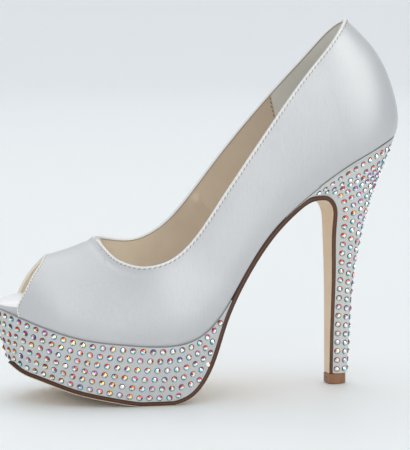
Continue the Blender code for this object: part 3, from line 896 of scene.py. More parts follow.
def stitch_phase(run, pitch):
    """Stitch count along an edge from its local pitch."""
    steps = np.diff(run, append=run[-1] + run[1])
    phase = np.concatenate(((0,), np.cumsum(steps / pitch)[:-1]))
    whole = phase[-1] + (steps / pitch)[-1]
    return phase * round(whole) / whole


def fold(name, edge, phase, section, closed):
    """Rolled edge that swells between its stitches, in a brighter satin as a painted highlight."""
    _, points, _, out, inward = edge
    swell = 1 + PUCKER * np.cos(2 * math.pi * phase)
    offsets = np.where(section["out"] > 0, section["out"] * swell[:, None], section["out"])
    rings = rings_along(points, inward, out, (section["inward"], offsets))
    make_piece(name, loft(rings, closed), [FOLD_SATIN_PAINTED_HIGHLIGHT], sharp_deg=70.0)


def stitch(centre, along, up, into, half):
    """One arched thread between two needle holes."""
    along, into = (along * math.cos(STITCH_SLANT) - into * math.sin(STITCH_SLANT),
                   into * math.cos(STITCH_SLANT) + along * math.sin(STITCH_SLANT))
    bend = np.linspace(0, math.pi, STITCH_RINGS)[:, None]
    middle = centre - along * half * np.cos(bend) + up * (STITCH_ARCH * np.sin(bend) - STITCH_SINK)
    radius = STITCH_RADIUS * mix(STITCH_END, 1, np.sin(bend))
    around = [radius * part for part in circle(STITCH_SIDES)]
    return loft(rings_along(middle, up[None], into[None], around))


def stitches(name, edge, phase, set_in=STITCH_INWARD, material=THREAD, bare=()):
    """Short threads, one to a stitch, lying in the fold's seam."""
    run = edge[0]
    threads = []
    for place in np.interp(np.arange(int(phase[-1])) + 0.5, phase, np.arange(len(run))):
        low = int(place)
        if any(first < run[low] < past for first, past in bare):
            continue
        high = min(low + 1, len(run) - 1)
        centre, along, up, into = (mix(column[low], column[high], place - low) for column in edge[1:])
        half = (run[high] - run[high - 1]) / (phase[high] - phase[high - 1]) * STITCH_SHARE / 2
        threads.append(stitch(centre + into * set_in + up * STITCH_OUT, along, up, into, half))
    make_piece(name, joined(threads), [material], sharp_deg=80.0)


whole_run = collar[0][-1] + collar[0][1]
from_throat = np.minimum(collar[0], whole_run - collar[0])
collar_pitch = mix(THROAT_PITCH, QUARTER_PITCH, smooth(from_throat, *THROAT_STITCH_RUN))
collar_phase = stitch_phase(collar[0], collar_pitch)
fold("collar_fold", collar, collar_phase, COLLAR_SECTION, True)
stitches("collar_stitches", collar, collar_phase,
         bare=((-1, THROAT_BARE), (whole_run - THROAT_BARE, whole_run + 1)))
mouth_phase = stitch_phase(mouth[0], THROAT_PITCH)
fold("peep_fold", mouth, mouth_phase, PEEP_SECTION, False)
crest_run = mouth[0][np.argmax(mouth[1][:, 2])]
stitches("peep_stitches", mouth, mouth_phase, PEEP_STITCH_INWARD, PEEP_THREAD,
         bare=((crest_run - PEEP_BARE, crest_run + PEEP_BARE),))
_, collar_points, _, collar_out, collar_inward = collar
# Dark cord inside the collar: the lining's seam, and painted shade under the rim
seam_line = collar_points + collar_inward * SEAM_INWARD + collar_out * SEAM_OUT
seam_rings = rings_along(seam_line, collar_inward, collar_out, SEAM_RADIUS * circle(CORD_SIDES))
make_piece("collar_seam_and_shade", loft(seam_rings, True), [SEAM_AND_SHADE], sharp_deg=80.0)

# Heel grip and seat band

GRIP_STATION = 167.0
GRIP_FROM_COLUMN = 8
GRIP_SINK = 0.05
GRIP_PROUD = 0.4
GRIP_BELOW_RIM = 1.0
GRIP_STITCH_INWARD = 1.0
BAND_FOOT = 1.75
BAND_FOOT_START = 0.35         # share of the band's foot where it begins
BAND_SECTION = table(          # from the band's top (share 0) to its foot (share 1)
    "share up out",
    (0, 0, -0.9), (0, 0, 0), (0, -0.2, 0.14), (1, 0.3, 0.19), (1, 0, 0), (1, 0, -1.2),
)
BAND_RISE_COLUMN = 5           # column that gives the band's direction
SEAT_SEAM_RADIUS = 0.3
SEAT_SEAM_START = 0.4          # share of the seam's radius where it begins
SEAT_SEAM_SET = 0.12


def grip_grid(depth):
    """Grid of the grip from the outer side round the back to the inner side, ending just below the rim."""
    grid = round_back(layer(depth), grip_row, slice(GRIP_FROM_COLUMN, None))
    grid[:, -1] += GRIP_BELOW_RIM * unit(grid[:, -2] - grid[:, -1])
    return grid


grip_row = row_at(GRIP_STATION)
grip = patch(grip_grid(WALL - GRIP_SINK), grip_grid(WALL + GRIP_PROUD))
make_piece("heel_grip", grip, [HEEL_GRIP], sharp_deg=50.0)
for side in SIDES:
    face = layer(WALL + GRIP_PROUD)[side][grip_row, GRIP_FROM_COLUMN:-1][::-side]
    facing = -normals[side][grip_row, GRIP_FROM_COLUMN:-1][::-side]
    edge = edge_frame(face, facing, False)
    phase = stitch_phase(edge[0], QUARTER_PITCH)
    stitches("grip_stitches_" + LABELS[side], edge, phase, GRIP_STITCH_INWARD, GRIP_THREAD)


def seat_band():
    """Folded satin band between the counter and the heel, with the dark seam along its top."""
    first = row_at(BAND_FROM_X)
    foot, above = (round_back(grids, first, column) for column in (0, BAND_RISE_COLUMN))
    out = round_back(normals, first, 1)
    rise = unit(above - foot)
    height = band_height(foot[:, :1])
    share = smooth(foot[:, :1], BAND_FROM_X, BAND_RISE_X[1])
    low = -BAND_FOOT * mix(BAND_FOOT_START, 1, share)
    ups = mix(height, low, BAND_SECTION["share"]) + BAND_SECTION["up"]
    band = loft(rings_along(foot, rise, out, (ups, BAND_SECTION["out"])))
    make_piece("seat_band", band, [WHITE_SATIN], sharp_deg=60.0)
    radius = SEAT_SEAM_RADIUS * mix(SEAT_SEAM_START, 1, share)
    round_out, round_up = (radius * part for part in circle(CORD_SIDES))
    seam_section = (height + SEAT_SEAM_SET + round_up, round_out - SEAT_SEAM_SET)
    seam = loft(rings_along(foot, rise, out, seam_section))
    make_piece("seat_seam", seam, [SEAT_CORD], sharp_deg=80.0)


seat_band()

# Insole pad

INSOLE_MARGIN_RUN = 9.0
INSOLE_SHOULDER_RUN = 16.0
INSOLE_LEVELS = 18
INSOLE_CROWDING = 1.7
INSOLE_NOSE_RUN = 9.0
INSOLE_NOSE = 0.12             # share of the height at the very toe
INSOLE_START = 0.4
INSOLE_RINGS = 150
INSOLE_HEEL_RINGS = 24
INSOLE_HEEL_SHARE = 0.985
INSOLE_SHADED_LEVELS = 6         # levels of its foot given the upper's darker satin as painted shade


def insole_ring(station):
    """Section of the pad with its round shoulder."""
    shares = 1 - (1 - np.linspace(0, 1, INSOLE_LEVELS)) ** INSOLE_CROWDING
    margin = GAP + (WALL + GAP) * smooth(station, TOE_X, TOE_X + INSOLE_MARGIN_RUN)
    shoulder = insole_inset(shares) * min(1, (station - TOE_X) / INSOLE_SHOULDER_RUN)
    near = 1 - min(1, (station - TOE_X) / INSOLE_NOSE_RUN)
    nose = mix(INSOLE_NOSE, 1, math.sqrt(1 - near * near))
    sides = []
    for side in SIDES:
        x, y = outline(np.full(INSOLE_LEVELS, station), side, margin + shoulder)
        nx, nz = feather_normal(x)
        lift = GAP / 2 + shares * insole_height(x) * nose
        sides.append(np.stack((x + nx * lift, y, feather_z(x) + nz * lift), axis=1)[::-1])
    return paired_ring(*sides)


insole_stations = np.concatenate((
    crowded(INSOLE_START, root_of(HEEL_CENTRE_X), INSOLE_RINGS),
    HEEL_CENTRE_X + HEEL_RUN * np.linspace(0, INSOLE_HEEL_SHARE, INSOLE_HEEL_RINGS)[1:],
))
pad = loft([insole_ring(station) for station in insole_stations])
from_foot = np.abs(np.arange(len(pad[1])) % (2 * INSOLE_LEVELS) - (INSOLE_LEVELS - 1))
# The pad's top has the bright satin as a painted highlight, and its foot the upper's darker satin as painted
# shade
insole_pad = make_piece("insole_pad", pad, [PAD_SATIN_PAINTED_HIGHLIGHT, WHITE_SATIN], replaces=("insole",),
                        sharp_deg=60.0, face_material=from_foot <= INSOLE_SHADED_LEVELS)

# Outsole

BREAST_THINNING = 0.2
BREAST_THINNING_RUN = 85.0
SOLE_TOE_RUN = 24.0
SOLE_START = 0.25
SOLE_TOE_RINGS = 26
SOLE_RINGS = 330
SOLE_PALE_RUN = 30.0           # the edge's tones turn lighter down the heel's breast
SOLE_PALE_BAND = (0.36, 0.66)
EDGE_START = 0.05
EDGE_STATIONS = 400
VISIBLE_GAP = 0.06
BEVEL_SHARE = 0.15
BEVEL_FADE = 0.8
BEVEL_RUN = (90.0, 125.0)
SOLE_SECTION = table(
    "share inset band",
    (1, 0.05, 0), (0.95, 0, 0.1), (0.6, 0, 0.5), (BEVEL_SHARE, 0, 0.9), (0, 0.3, 1),
)


def sole_path():
    """Outsole's underside as a fine line in the side view, with its run and the breast's half width."""
    rows = list(zip(FOREFOOT["x"], FOREFOOT["z"]))
    drop = SOLE_THICKNESS + GAP
    for x in WAIST_X:
        nx, nz = feather_normal(x)
        rows.append((x - nx * drop, feather_z(x) - nz * drop))
    breast_start = len(rows)
    rows = np.array(rows + list(zip(BREAST["x"], BREAST["z"])))
    run = run_along(rows)
    fine = np.linspace(0, run[-1], FINE_RUNS)
    line = np.stack([spline(run, column)(fine) for column in rows.T], axis=1)
    line[:, 1] = np.maximum(line[:, 1], 0)
    along = unit(np.gradient(line, axis=0))
    normal = np.stack((-along[:, 1], along[:, 0]), axis=1)
    knots = run[breast_start - 1:]
    waist_half = half_width(rows[breast_start - 1, 0]) - SOLE_MARGIN
    breast_half = spline(knots, np.append(waist_half, BREAST["half_width"]))
    return fine, line, normal, knots[0], breast_half


def sole_inset(station):
    """How far the sole's edge is set in from the upper's feather edge."""
    side_inset = mix(PLATFORM_TAPER, SOLE_MARGIN, smooth(station, *TAPER_RUN_X))
    toe_share = 1 - smooth(station, TOE_X, TOE_TAPER_END_X)
    return side_inset + (TOE_TAPER - PLATFORM_TAPER) * toe_share


sole_run, sole_line, sole_normal, breast_from, breast_half_width = sole_path()
edge_stations = crowded(EDGE_START, root_of(HEEL_CENTRE_X), EDGE_STATIONS)
sole_edges = [outline(edge_stations, side, sole_inset(edge_stations)) for side in SIDES]


def sole_point(run, lift):
    """Point of the side view at a distance above the outsole's underside."""
    return at_run(run, sole_run, sole_line + sole_normal * lift)


def sole_thickness(run):
    """Thickness of the leather, thinned down the heel's breast."""
    return SOLE_THICKNESS * (1 - BREAST_THINNING * (1 - smooth(sole_run[-1] - run, 0, BREAST_THINNING_RUN)))


def sole_sides(run):
    """Y of the outsole's two edges."""
    x = sole_point(run, 0)[0]
    if run > breast_from:
        return [plan_centre(x) + side * breast_half_width(run) for side in SIDES]
    return [np.interp(x, *edge) for edge in sole_edges]


def outsole():
    """Leather sole with a dark edge and a pale underside."""
    runs = np.concatenate((np.linspace(SOLE_START, math.sqrt(SOLE_TOE_RUN), SOLE_TOE_RINGS) ** 2,
                           np.linspace(SOLE_TOE_RUN, sole_run[-1], SOLE_RINGS)[1:]))
    section_shares, section_insets, section_bands = SOLE_SECTION.values()
    rings = []
    for run in runs:
        bevel = 1 - BEVEL_FADE * smooth(run, *BEVEL_RUN)
        shares = np.where(section_shares == BEVEL_SHARE, BEVEL_SHARE * bevel, section_shares)
        x, z = np.transpose([sole_point(run, share * sole_thickness(run)) for share in shares])
        edges = sole_sides(run)
        shrink = np.minimum(section_insets, (edges[1] - edges[0]) / 3) * np.where(shares == 0, bevel, 1)
        rings.append(paired_ring(*(np.stack((x, y - side * shrink, z), axis=1)
                                   for side, y in zip(SIDES, edges))))
    shape = loft(rings)
    count = 2 * len(section_shares)
    number = np.arange(len(shape[1]))
    under = np.abs(number % count - (len(section_shares) - 1)) <= 1
    pale = under & (number < (len(rings) - 1) * count)
    band = np.concatenate((section_bands, section_bands[::-1]))
    down_breast = smooth(runs, breast_from, breast_from + SOLE_PALE_RUN)[:, None]
    make_piece("outsole_leather", shape, [SOLE_EDGE, SOLE_LEATHER], replaces=("outsole",),
               sharp_deg=30.0, face_material=pale, bands=mix(band, mix(*SOLE_PALE_BAND, band), down_breast).ravel())


outsole()

# Platform cover

PLATFORM_START = 0.4
PLATFORM_RINGS = 130
PLATFORM_LEVELS = 24
PLATFORM_CROWDING = 1.5
PLATFORM_BULGE = 0.35
PLATFORM_TURN = 0.45
PLATFORM_TURN_SHARE = 0.035
WELT_INSET = 0.62
WELT_RADIUS = 0.42
WELT_END_X = 112.0
WELT_START = 0.3
WELT_RINGS = 160
over_sole = (sole_line + sole_normal * (SOLE_THICKNESS + VISIBLE_GAP))[sole_run < breast_from]


def platform_points(station, side, level):
    """Points of the platform's side from its top edge (level 0) to its foot (level 1)."""
    station, level = np.broadcast_arrays(np.asarray(station, float), np.asarray(level, float))
    turn = PLATFORM_TURN * (1 - smooth(level, 0, PLATFORM_TURN_SHARE))
    inset = mix(PLATFORM_MARGIN, sole_inset(station), level) - PLATFORM_BULGE * np.sin(math.pi * level) + turn
    x, y = outline(station, side, inset)
    top = under_feather(x)
    foot = np.interp(x, *over_sole.T)
    return np.stack((x, y, mix(top, foot, level)), axis=-1)


def platform():
    """Covered wedge that ends where it runs out under the arch."""
    levels = np.linspace(0, 1, PLATFORM_LEVELS) ** PLATFORM_CROWDING
    rings = []
    for station in crowded(PLATFORM_START, root_of(PLATFORM_END_X), PLATFORM_RINGS):
        sides = [platform_points(station, side, levels) for side in SIDES]
        if sides[0][0, 2] - sides[0][-1, 2] < PLATFORM_THIN_EDGE:
            break
        rings.append(paired_ring(*sides))
    make_piece("platform_cover", loft(rings), [PLATFORM_SATIN], replaces=("platform",))


def welt():
    """Cord that lies in the seam between the upper and the platform, coloured dark as painted shade of the
    seam.
    """
    half = crowded(root_of(WELT_END_X), WELT_START, WELT_RINGS)
    lines = []
    for side, stations in ((OUTER, half), (INNER, half[::-1])):
        x, y = outline(stations, side, WELT_INSET)
        lines.append(np.stack((x, y, feather_z(x) - GAP / 2), axis=1))
    line = np.concatenate(lines)
    along = unit(np.gradient(line, axis=0))
    out = unit(np.cross(along, (0, 0, 1.0)))
    rings = rings_along(line, out, np.cross(out, along), WELT_RADIUS * circle(CORD_SIDES))
    make_piece("platform_welt", loft(rings), [WELT_PAINTED_SHADE], sharp_deg=80.0)


platform()
welt()

# Heel cover and top piece

HEEL_RINGS = 140
HEEL_FRONT_POINTS = 14
HEEL_BACK_POINTS = 26
HEEL_ROUND_DEG = 87.0          # where a level's last point lies; its stones go all the way
FULL_ROUND_DEG = 90.0
HEEL_TOP_RUN = HEEL["breast_run"][-1]
TIP_FRONT_X = BREAST["x"][-1] - TOP_PIECE_RIM
TIP_BACK_X = 188.9
TIP_SECTION = table("z inset", (0, 0.7), (0.15, 0.3), (0.5, 0), (5.3, 0), (5.6, 0.3))
PIN_Z = 3.1
PIN_RADIUS = 0.8
PIN_SIDES = 16
PIN_SECTION = table("depth radius", (0.6, PIN_RADIUS), (-0.06, PIN_RADIUS), (-0.06, 0.05))


def heel_side(front, back, front_half, widest_half, side, bend=0.0, front_bend=0.0, round_deg=HEEL_ROUND_DEG):
    """One side of a heel level, from the straight breast round to the back."""
    front_shares = np.linspace(0, HEEL_WIDEST, HEEL_FRONT_POINTS, endpoint=False)
    turns = np.radians(np.linspace(0, round_deg, HEEL_BACK_POINTS))
    shares = np.concatenate((front_shares, mix(HEEL_WIDEST, 1, np.sin(turns))))
    x, z = (mix(start, end, shares) for start, end in zip(front, back))
    z = mix(z, under_feather(x), bend * np.maximum(smooth(shares, 0, SEAT_BEND_EASE), front_bend))
    ease = np.sin(np.minimum(1, shares / HEEL_WIDEST) * math.pi / 2)
    past = np.clip((shares - HEEL_WIDEST) / (1 - HEEL_WIDEST), 0, 1)
    half = np.where(shares < HEEL_WIDEST, mix(front_half, widest_half, ease),
                    widest_half * np.sqrt(1 - past**2))
    return np.stack((x, plan_centre(x) + side * half, z), axis=1)


def heel_section(run, side, round_deg=HEEL_ROUND_DEG):
    """One side of the heel at a run up the breast."""
    along = sole_run[-1] - run
    front = sole_point(along, sole_thickness(along) + VISIBLE_GAP)
    back_z = heel_level["back_z"](run)
    front_half = sole_sides(along)[1] - plan_centre(front[0]) - VISIBLE_GAP
    bend = max(0, (run - SEAT_BEND_RUN) / (HEEL_TOP_RUN - SEAT_BEND_RUN)) ** 2
    return heel_side(front, (heel_back_x(back_z), back_z), front_half, heel_level["half_width"](run),
                     side, bend, smooth(run, *FRONT_BEND_RUN), round_deg)


def tip_ring(z, inset):
    """One level of the heel tip."""
    ends = (TIP_FRONT_X + inset, z), (TIP_BACK_X - inset, z)
    halves = (TOP_PIECE_FRONT_HALF - inset, TOP_PIECE_HALF - inset)
    return paired_ring(*(heel_side(*ends, *halves, side) for side in SIDES))


def pin_ring(depth, radius):
    """One ring of the pin's head in the tip's front."""
    across, up = radius * circle(PIN_SIDES)
    return np.stack((np.full(PIN_SIDES, TIP_FRONT_X + depth), across, PIN_Z + up), axis=1)


heel_rings = [paired_ring(*(heel_section(run, side) for side in SIDES))
              for run in np.linspace(0, HEEL_TOP_RUN, HEEL_RINGS)]
make_piece("heel_cover", loft(heel_rings), [HEEL_SATIN], replaces=("heel",))
tip = loft([tip_ring(*row) for row in zip(*TIP_SECTION.values())])
make_piece("heel_tip", tip, [TIP_PLASTIC], replaces=("top_piece",))
pin = loft([pin_ring(*row) for row in zip(*PIN_SECTION.values())])
make_piece("tip_pin", pin, [PIN])

# Stones

STONE_RADIUS = 1.66
STONE_RIM = 1.24
STONE_RIM_HEIGHT = 0.36
STONE_TABLE = 0.52
STONE_HEIGHT = 0.98
STONE_SINK = 0.08
STONE_SIDES = 16
FACETS = 8
ROW_TOP = 2.6
ROW_FOOT = 2.0
ROW_FOOT_EASE = 0.4            # how much nearer the foot a row may end
ROWS = 6
ROW_FULL_X = 70.0              # behind it the rows keep their distances below the top edge
ROW_START = 0.25
ROW_STATIONS = 320
LEVEL_STEP = 0.02
STONE_PITCH = 5.15
STONE_CLEAR = 3.4
FILL_CLEAR = 3.9
FILL_STEP = 1.0
FILL_LEVELS = 2                # the fill tries every second level of the heel
FILL_END = 70.0
SOLE_CLEAR = 1.5
FOOT_ROW_RISE = 2.2
FOOT_ROW_STEP = 1.0
FOOT_ROW_CLEAR = 4.4
FOOT_ROW_STATIONS = 160
FOOT_ROW_END = 2.0
COLUMN_FIRST = 4.6
COLUMN_FOOT = 2.15             # at the heel's foot the first column lies nearer the breast
COLUMN_PITCH = 4.5
COLUMN_EASE_RUN = (35.0, 95.0)
COLUMN_BELOW_ROWS = 3.45
COLUMN_STEPS = 12              # a shorter column is left to the fill
COLUMNS = 17
HEEL_STONE_PITCHES = (4.87, 4.67)  # of the first column and of the others
HEEL_STONE_START = 2.4
HEEL_STONE_LEVELS = 260
HEEL_STONE_RUNS = np.linspace(0, HEEL_TOP_RUN, HEEL_STONE_LEVELS)
BACK_CLEAR = 0.2
SEAT_CLEAR = 2.3
SEAT_STEP = 0.5
SEAT_ROWS = 3                  # rows along the seat, columns below them
SEAT_ROW_FIRST = 3.2
SEAT_ROW_PITCH = 2.8
SEAT_STONE_PITCH = 5.0
SEAT_STONE_START = 2.4

# Facet colours that a stone may show, by the side of the facet, from the right round to the lower right: the
# coating's hues and darks as painted reflections, whites as painted highlights
FACET_COATING_AND_GLINTS = (
    ((0.95, 0.80, 0.25), (0.95, 0.45, 0.08), (0.10, 0.70, 0.86), (0.12, 0.10, 0.12)),
    ((0.72, 0.06, 0.03), (0.90, 0.28, 0.03), (0.10, 0.05, 0.06), (0.75, 0.14, 0.04)),
    ((0.80, 0.08, 0.03), (0.60, 0.03, 0.20), (0.24, 0.08, 0.52), (0.45, 0.04, 0.05)),
    ((0.60, 0.07, 0.20), (0.85, 0.50, 0.40), (0.12, 0.07, 0.15), (0.80, 0.85, 0.90)),
    ((0.95, 0.94, 0.94), (0.60, 0.90, 0.96), (0.95, 0.90, 0.85), (0.40, 0.60, 0.70)),
    ((0.20, 0.82, 0.93), (0.85, 0.95, 0.97), (0.05, 0.60, 0.80), (0.35, 0.88, 0.90)),
    ((0.08, 0.66, 0.82), (0.25, 0.86, 0.93), (0.95, 0.93, 0.50), (0.04, 0.42, 0.56)),
    ((0.95, 0.84, 0.26), (0.15, 0.80, 0.90), (0.95, 0.95, 0.78), (0.92, 0.60, 0.12)),
)
FACET_SHADES = (0.8, 1.1)
PALE_FOOT_Z = 75.0             # the heel's stones turn paler below this height
PALE_SHARE = 0.42
PLAIN_SHARE = 0.05
PLAIN_PALENESS = 0.7
PALE_FACET = 0.72
# Painted shade round the rim: darkest at one turn, as a shadow line, and lighter opposite
RIM_PAINTED_SHADE = np.array((0.02, 0.024, 0.024))
RIM_PAINTED_LIGHT = np.array((0.07, 0.085, 0.085))
RIM_SHADE_TURN = math.radians(60)
# Painted highlight on the table
TABLE_PAINTED_HIGHLIGHT = np.array((0.92, 0.90, 0.91))
TABLE_SHADES = (0.75, 1.05)
COLOUR_LIMITS = (0.01, 0.97)
SEED = 7
random = np.random.default_rng(SEED)


def stone_template():
    """Points and faces of a flat-backed stone on the plane."""
    ring = np.linspace(0, 2 * math.pi, STONE_SIDES, endpoint=False)
    crown = np.linspace(0, 2 * math.pi, FACETS, endpoint=False) + math.pi / FACETS
    levels = ((ring, STONE_RADIUS, -STONE_SINK), (ring, STONE_RIM, STONE_RIM_HEIGHT),
              (crown, STONE_TABLE, STONE_HEIGHT))
    points = np.vstack([np.stack((r * np.cos(a), r * np.sin(a), np.full(len(a), h)), axis=1)
                        for a, r, h in levels])
    top = 2 * STONE_SIDES
    faces = [list(range(STONE_SIDES))[::-1]]
    for k in range(STONE_SIDES):
        n = (k + 1) % STONE_SIDES
        faces.append((k, n, STONE_SIDES + n, STONE_SIDES + k))
    for m in range(FACETS):
        rim = [STONE_SIDES + (2 * m + k) % STONE_SIDES for k in (-1, 0, 1)]
        faces.append((top + (m - 1) % FACETS, *rim, top + m))
    faces.append([top + m for m in range(FACETS)])
    return points, faces


def stone_colours(pale):
    """Colours of one stone's faces: back, rim, crown facets and table; the rim has a painted shadow to one
    side, the facets painted reflections and the table a painted highlight.
    """
    if random.random() < PLAIN_SHARE:
        pale = PLAIN_PALENESS
    turns = 2 * math.pi * np.arange(STONE_SIDES) / STONE_SIDES - RIM_SHADE_TURN
    colours = [RIM_PAINTED_SHADE, *(mix(RIM_PAINTED_SHADE, RIM_PAINTED_LIGHT, lit) for lit in 0.5 - 0.5 * np.cos(turns))]
    spin = int(random.integers(-1, 2))
    for m in range(FACETS):
        choices = FACET_COATING_AND_GLINTS[(m + spin) % FACETS]
        colour = np.array(choices[random.integers(len(choices))]) * random.uniform(*FACET_SHADES)
        colours.append(mix(colour, PALE_FACET, pale))
    colours.append(TABLE_PAINTED_HIGHLIGHT * random.uniform(*TABLE_SHADES))
    return np.clip(colours, *COLOUR_LIMITS)


def stones(name, places, pale_foot=0.0):
    """All stones of one piece, each on its place with the outward normal, paler toward the foot."""
    template, faces = stone_template()
    shapes, colours = [], []
    for centre, out in places:
        up = unit(np.array((0, 0, 1.0)) - out[2] * out)
        shapes.append((centre + template @ np.stack((np.cross(up, out), up, out)), faces))
        colours.append(stone_colours(max(0.0, pale_foot * (1 - centre[2] / PALE_FOOT_Z))))
    colours = np.pad(np.concatenate(colours), ((0, 0), (0, 1)), constant_values=1)
    make_piece(name, joined(shapes), [STONE], sharp_deg=5.0, colours=colours)


def spaced(*passes):
    """Places in order, without those too near an earlier one; each pass has its clear distance."""
    kept = []
    for clear, candidates in passes:
        for centre, out in candidates:
            if all(np.linalg.norm(centre - other) > clear for other, _ in kept):
                kept.append((centre, out))
    return kept


def places_at(at, run, points, outs):
    """Places on a line of points and normals at distances along it."""
    return list(zip(at_run(at, run, points), unit(at_run(at, run, outs))))


def along_path(points, outs, offset, pitch):
    """Places at an even pitch along a line of points."""
    run = run_along(points)
    return places_at(np.arange(offset, run[-1], pitch), run, points, outs)


def platform_rows():
    """Staggered rows of stones that follow the platform's top edge."""
    stations = crowded(ROW_START, root_of(PLATFORM_END_X), ROW_STATIONS)
    candidates = []
    for row in range(ROWS):
        for side in SIDES:
            top, foot = (platform_points(stations, side, level) for level in (0.0, 1.0))
            height = np.linalg.norm(foot - top, axis=1)
            full = np.where(stations < ROW_FULL_X, height, np.interp(ROW_FULL_X, stations, height))
            level = mix(ROW_TOP, full - ROW_FOOT, row / (ROWS - 1)) / height
            inside = level < 1 - (ROW_FOOT - ROW_FOOT_EASE) / height
            level = np.minimum(level, 1)
            points, lower = (platform_points(stations, side, level + step) for step in (0, LEVEL_STEP))
            outs = unit(np.cross(np.gradient(points, axis=0), lower - points) * side)
            offset = STONE_PITCH * (0.5 if row % 2 else float(side == OUTER))
            candidates += along_path(points[inside], outs[inside], offset, STONE_PITCH)
    return candidates


def platform_foot_row():
    """Stones along the foot of the platform's rear end."""
    stations = np.linspace(ROW_FULL_X, PLATFORM_END_X - FOOT_ROW_END, FOOT_ROW_STATIONS)
    candidates = []
    for side in SIDES:
        top, foot = (platform_points(stations, side, level) for level in (0.0, 1.0))
        rise = unit(top - foot)
        line = foot + rise * FOOT_ROW_RISE
        out = unit(np.cross(np.gradient(foot, axis=0), rise) * -side)
        tall = np.linalg.norm(top - foot, axis=1) > FOOT_ROW_RISE + ROW_TOP
        candidates += along_path(line[tall], out[tall], 0.0, FOOT_ROW_STEP)
    return candidates


sole_top = sole_line + sole_normal * (sole_thickness(sole_run) + VISIBLE_GAP)[:, None]


def on_section(section, normal, distance):
    """Places, one or none, at a distance round a section from the breast."""
    run = run_along(section)
    return places_at(np.array([distance]), run, section, normal) if distance <= run[-1] - BACK_CLEAR else []


def on_cover(place):
    """Whether a stone at a place keeps clear of the seat and the sole's edge."""
    x, _, z = place[0]
    to_sole = np.min(np.hypot(sole_top[:, 0] - x, sole_top[:, 1] - z))
    return under_feather(x) - z > SEAT_CLEAR and to_sole > SOLE_CLEAR


def seat_row(grid, normal, drops, drop):
    """Line on the heel's side at a distance below the seat, with its normals."""
    line = []
    for column in range(grid.shape[1]):
        climb = np.maximum.accumulate(drops[::-1, column])
        line += places_at(np.array([drop]), climb, grid[::-1, column], normal[::-1, column])
    return (np.array(part) for part in zip(*line))


def heel_column(grid, normal, seat, column, top):
    """Evenly spaced places along one column, from the heel's foot to just below the rows."""
    line = []
    for run, section, outs in zip(HEEL_STONE_RUNS, grid, normal):
        first = mix(COLUMN_FOOT, COLUMN_FIRST, smooth(run, *COLUMN_EASE_RUN))
        for place in on_section(section, outs, first + column * COLUMN_PITCH):
            if run > HEEL_STONE_START and nearest(place[0], seat)[0] > top:
                line.append(place)
    if len(line) <= COLUMN_STEPS:
        return []
    points, outs = (np.array(part) for part in zip(*line))
    run = run_along(points)
    count = round(run[-1] / HEEL_STONE_PITCHES[min(column, 1)])
    return places_at(np.linspace(0, run[-1], count + 1), run, points, outs)


def heel_places():
    """Rows along the seat, columns along the breast, then stones that fill what is left."""
    rows, columns, filling = [], [], []
    top = SEAT_ROW_FIRST + (SEAT_ROWS - 1) * SEAT_ROW_PITCH + COLUMN_BELOW_ROWS
    for side in SIDES:
        grid = np.array([heel_section(run, side, FULL_ROUND_DEG) for run in HEEL_STONE_RUNS])
        normal = unit(np.cross(*np.gradient(grid, axis=(0, 1))) * side)
        seat = resample([grid[-1]], SEAT_STEP, False)[1][0]
        drops = nearest(grid, seat)[0]
        for row in range(SEAT_ROWS):
            line, outs = seat_row(grid, normal, drops, SEAT_ROW_FIRST + row * SEAT_ROW_PITCH)
            start = SEAT_STONE_START + row % 2 * SEAT_STONE_PITCH / 2
            rows += along_path(line, outs, start, SEAT_STONE_PITCH)
        for column in range(COLUMNS):
            columns += heel_column(grid, normal, seat, column, top)
        for k in range(len(grid) - 1, 0, -FILL_LEVELS):
            for distance in np.arange(COLUMN_FIRST, FILL_END, FILL_STEP):
                filling += on_section(grid[k], normal[k], distance)
    return spaced(*((clear, filter(on_cover, places))
                    for clear, places in ((STONE_CLEAR, rows + columns), (FILL_CLEAR, filling))))


platform_places = spaced((STONE_CLEAR, platform_rows()), (FOOT_ROW_CLEAR, platform_foot_row()))
stones("platform_stones", platform_places)
stones("heel_stones", heel_places(), PALE_SHARE)

# Stage, light and camera

FLOOR_COLOUR = (0.86, 0.88, 0.885)
# Painted shade: the far backdrop is coloured darker than the floor
FAR_COLOUR = (0.785, 0.81, 0.83)
FAR_RUN_Y = (1.0, 7.0)         # stage sizes are in metres
FLOOR_HALF = 9.0
FLOOR_ROUGHNESS = (0.45, 0.55)
FLOOR_GRAIN = 90.0
BACK_DISTANCE = 8.0
BACK_RADIUS = 3.0
BACK_HEIGHT = 6.0
BACK_STEPS = 24
WORLD_COLOUR = (0.94, 0.97, 1.0)
WORLD_STRENGTH = 0.70
WORLD_DIM_STRENGTH = 0.52      # on the heel's side
WORLD_DIM_X = (-0.1, 0.9)
# Name, direction that it comes from, strength, angle in degrees, colour, and whether it lights gloss alone
LIGHTS = (
    ("gloss", (0.62, -0.70, 0.57), 2.6, 56.0, (1.0, 0.995, 0.985), True),
    ("high_gloss", (0.05, -0.62, 0.78), 0.6, 40.0, (1.0, 0.995, 0.985), True),
    ("front", (-0.35, -0.9, 0.1), 0.46, 60.0, (1.0, 0.99, 0.975), False),
    ("back", (0.1, 0.9, 0.5), 0.65, 60.0, (1.0, 1.0, 1.0), False),
    ("top", (0.1, 0.1, 1.0), 0.95, 60.0, (1.0, 1.0, 1.0), False),
)
CAMERA_TARGET = (109.4, 0.0, 88.4)
CAMERA_TURN_DEG = 16.0
CAMERA_RISE_DEG = 5.8
CAMERA_DISTANCE = 1000.0
CAMERA_LENS = 150.9
SENSOR = 36.0


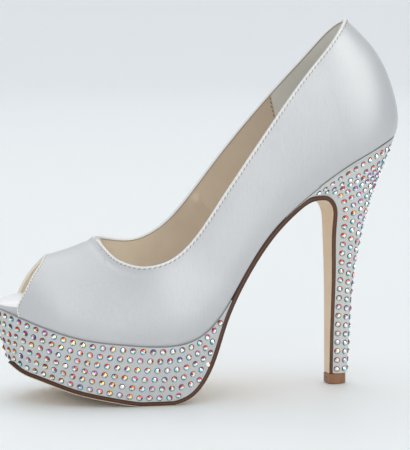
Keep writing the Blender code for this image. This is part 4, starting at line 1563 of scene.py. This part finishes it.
def stage_floor():
    """Floor that rises into a backdrop far behind the shoe, painted darker toward the far backdrop as painted
    shade.
    """
    material, tree, shader = new_material(
        "studio_floor", FLOOR_COLOUR, roughness=0.5, Specular_IOR_Level=0.3)
    depth = range_node(tree, coordinate(tree, "Y"), 0.0, 1.0, *FAR_RUN_Y)
    fill(tree, shader, {
        "Base Color": ramp_node(tree, depth, (0.0, FLOOR_COLOUR), (1.0, FAR_COLOUR)),
        "Roughness": range_node(tree, noise_node(tree, FLOOR_GRAIN), *FLOOR_ROUGHNESS),
    })
    angles = np.linspace(0, math.pi / 2, BACK_STEPS)[1:]
    profile = [(-FLOOR_HALF, 0.0), (BACK_DISTANCE - BACK_RADIUS, 0.0)]
    profile += [(BACK_DISTANCE - BACK_RADIUS * (1 - math.sin(angle)), BACK_RADIUS * (1 - math.cos(angle)))
                for angle in angles]
    profile.append((BACK_DISTANCE, BACK_HEIGHT))
    vertices = [(x, y, z) for y, z in profile for x in (-FLOOR_HALF, FLOOR_HALF)]
    mesh = bpy.data.meshes.new("studio_floor")
    mesh.from_pydata(vertices, [], quads(np.arange(len(vertices)).reshape(-1, 2)))
    mesh.shade_smooth()
    mesh.materials.append(material)
    floor = add_object("studio_floor", mesh)


def studio_world():
    """Even pale world, a little dimmer on the heel's side."""
    world = bpy.data.worlds.new("studio")
    world.use_nodes = True
    tree = world.node_tree
    place = node(tree, "ShaderNodeTexCoord").outputs["Generated"]
    across = node(tree, "ShaderNodeSeparateXYZ", Vector=place).outputs["X"]
    strength = range_node(tree, across, WORLD_STRENGTH, WORLD_DIM_STRENGTH, *WORLD_DIM_X)
    fill(tree, tree.nodes["Background"], {"Color": (*WORLD_COLOUR, 1), "Strength": strength})
    bpy.context.scene.world = world


def aim(made, place, direction):
    """Place an object and point it in a direction."""
    made.location = place
    made.rotation_euler = Vector(direction).to_track_quat("-Z", "Y").to_euler()


def soft_light(name, place, strength, angle, colour, gloss_only):
    """Wide soft light from far away in a direction."""
    data = bpy.data.lights.new(name, "SUN")
    data.energy = strength
    data.angle = math.radians(angle)
    data.color = colour
    light = add_object(name, data)
    light.visible_diffuse = not gloss_only
    aim(light, place, -Vector(place))


def camera():
    """Camera at the photo's angle."""
    turn, rise = math.radians(CAMERA_TURN_DEG), math.radians(CAMERA_RISE_DEG)
    back = np.array((-math.sin(turn) * math.cos(rise), -math.cos(turn) * math.cos(rise), math.sin(rise)))
    data = bpy.data.cameras.new("camera")
    data.lens = CAMERA_LENS
    data.sensor_width = SENSOR
    made = add_object("camera", data)
    aim(made, to_frame(np.array(CAMERA_TARGET) + CAMERA_DISTANCE * back)[0], -back)
    bpy.context.scene.camera = made


stage_floor()
studio_world()
for light in LIGHTS:
    soft_light(*light)
camera()
bpy.context.scene.view_settings.view_transform = "Standard"
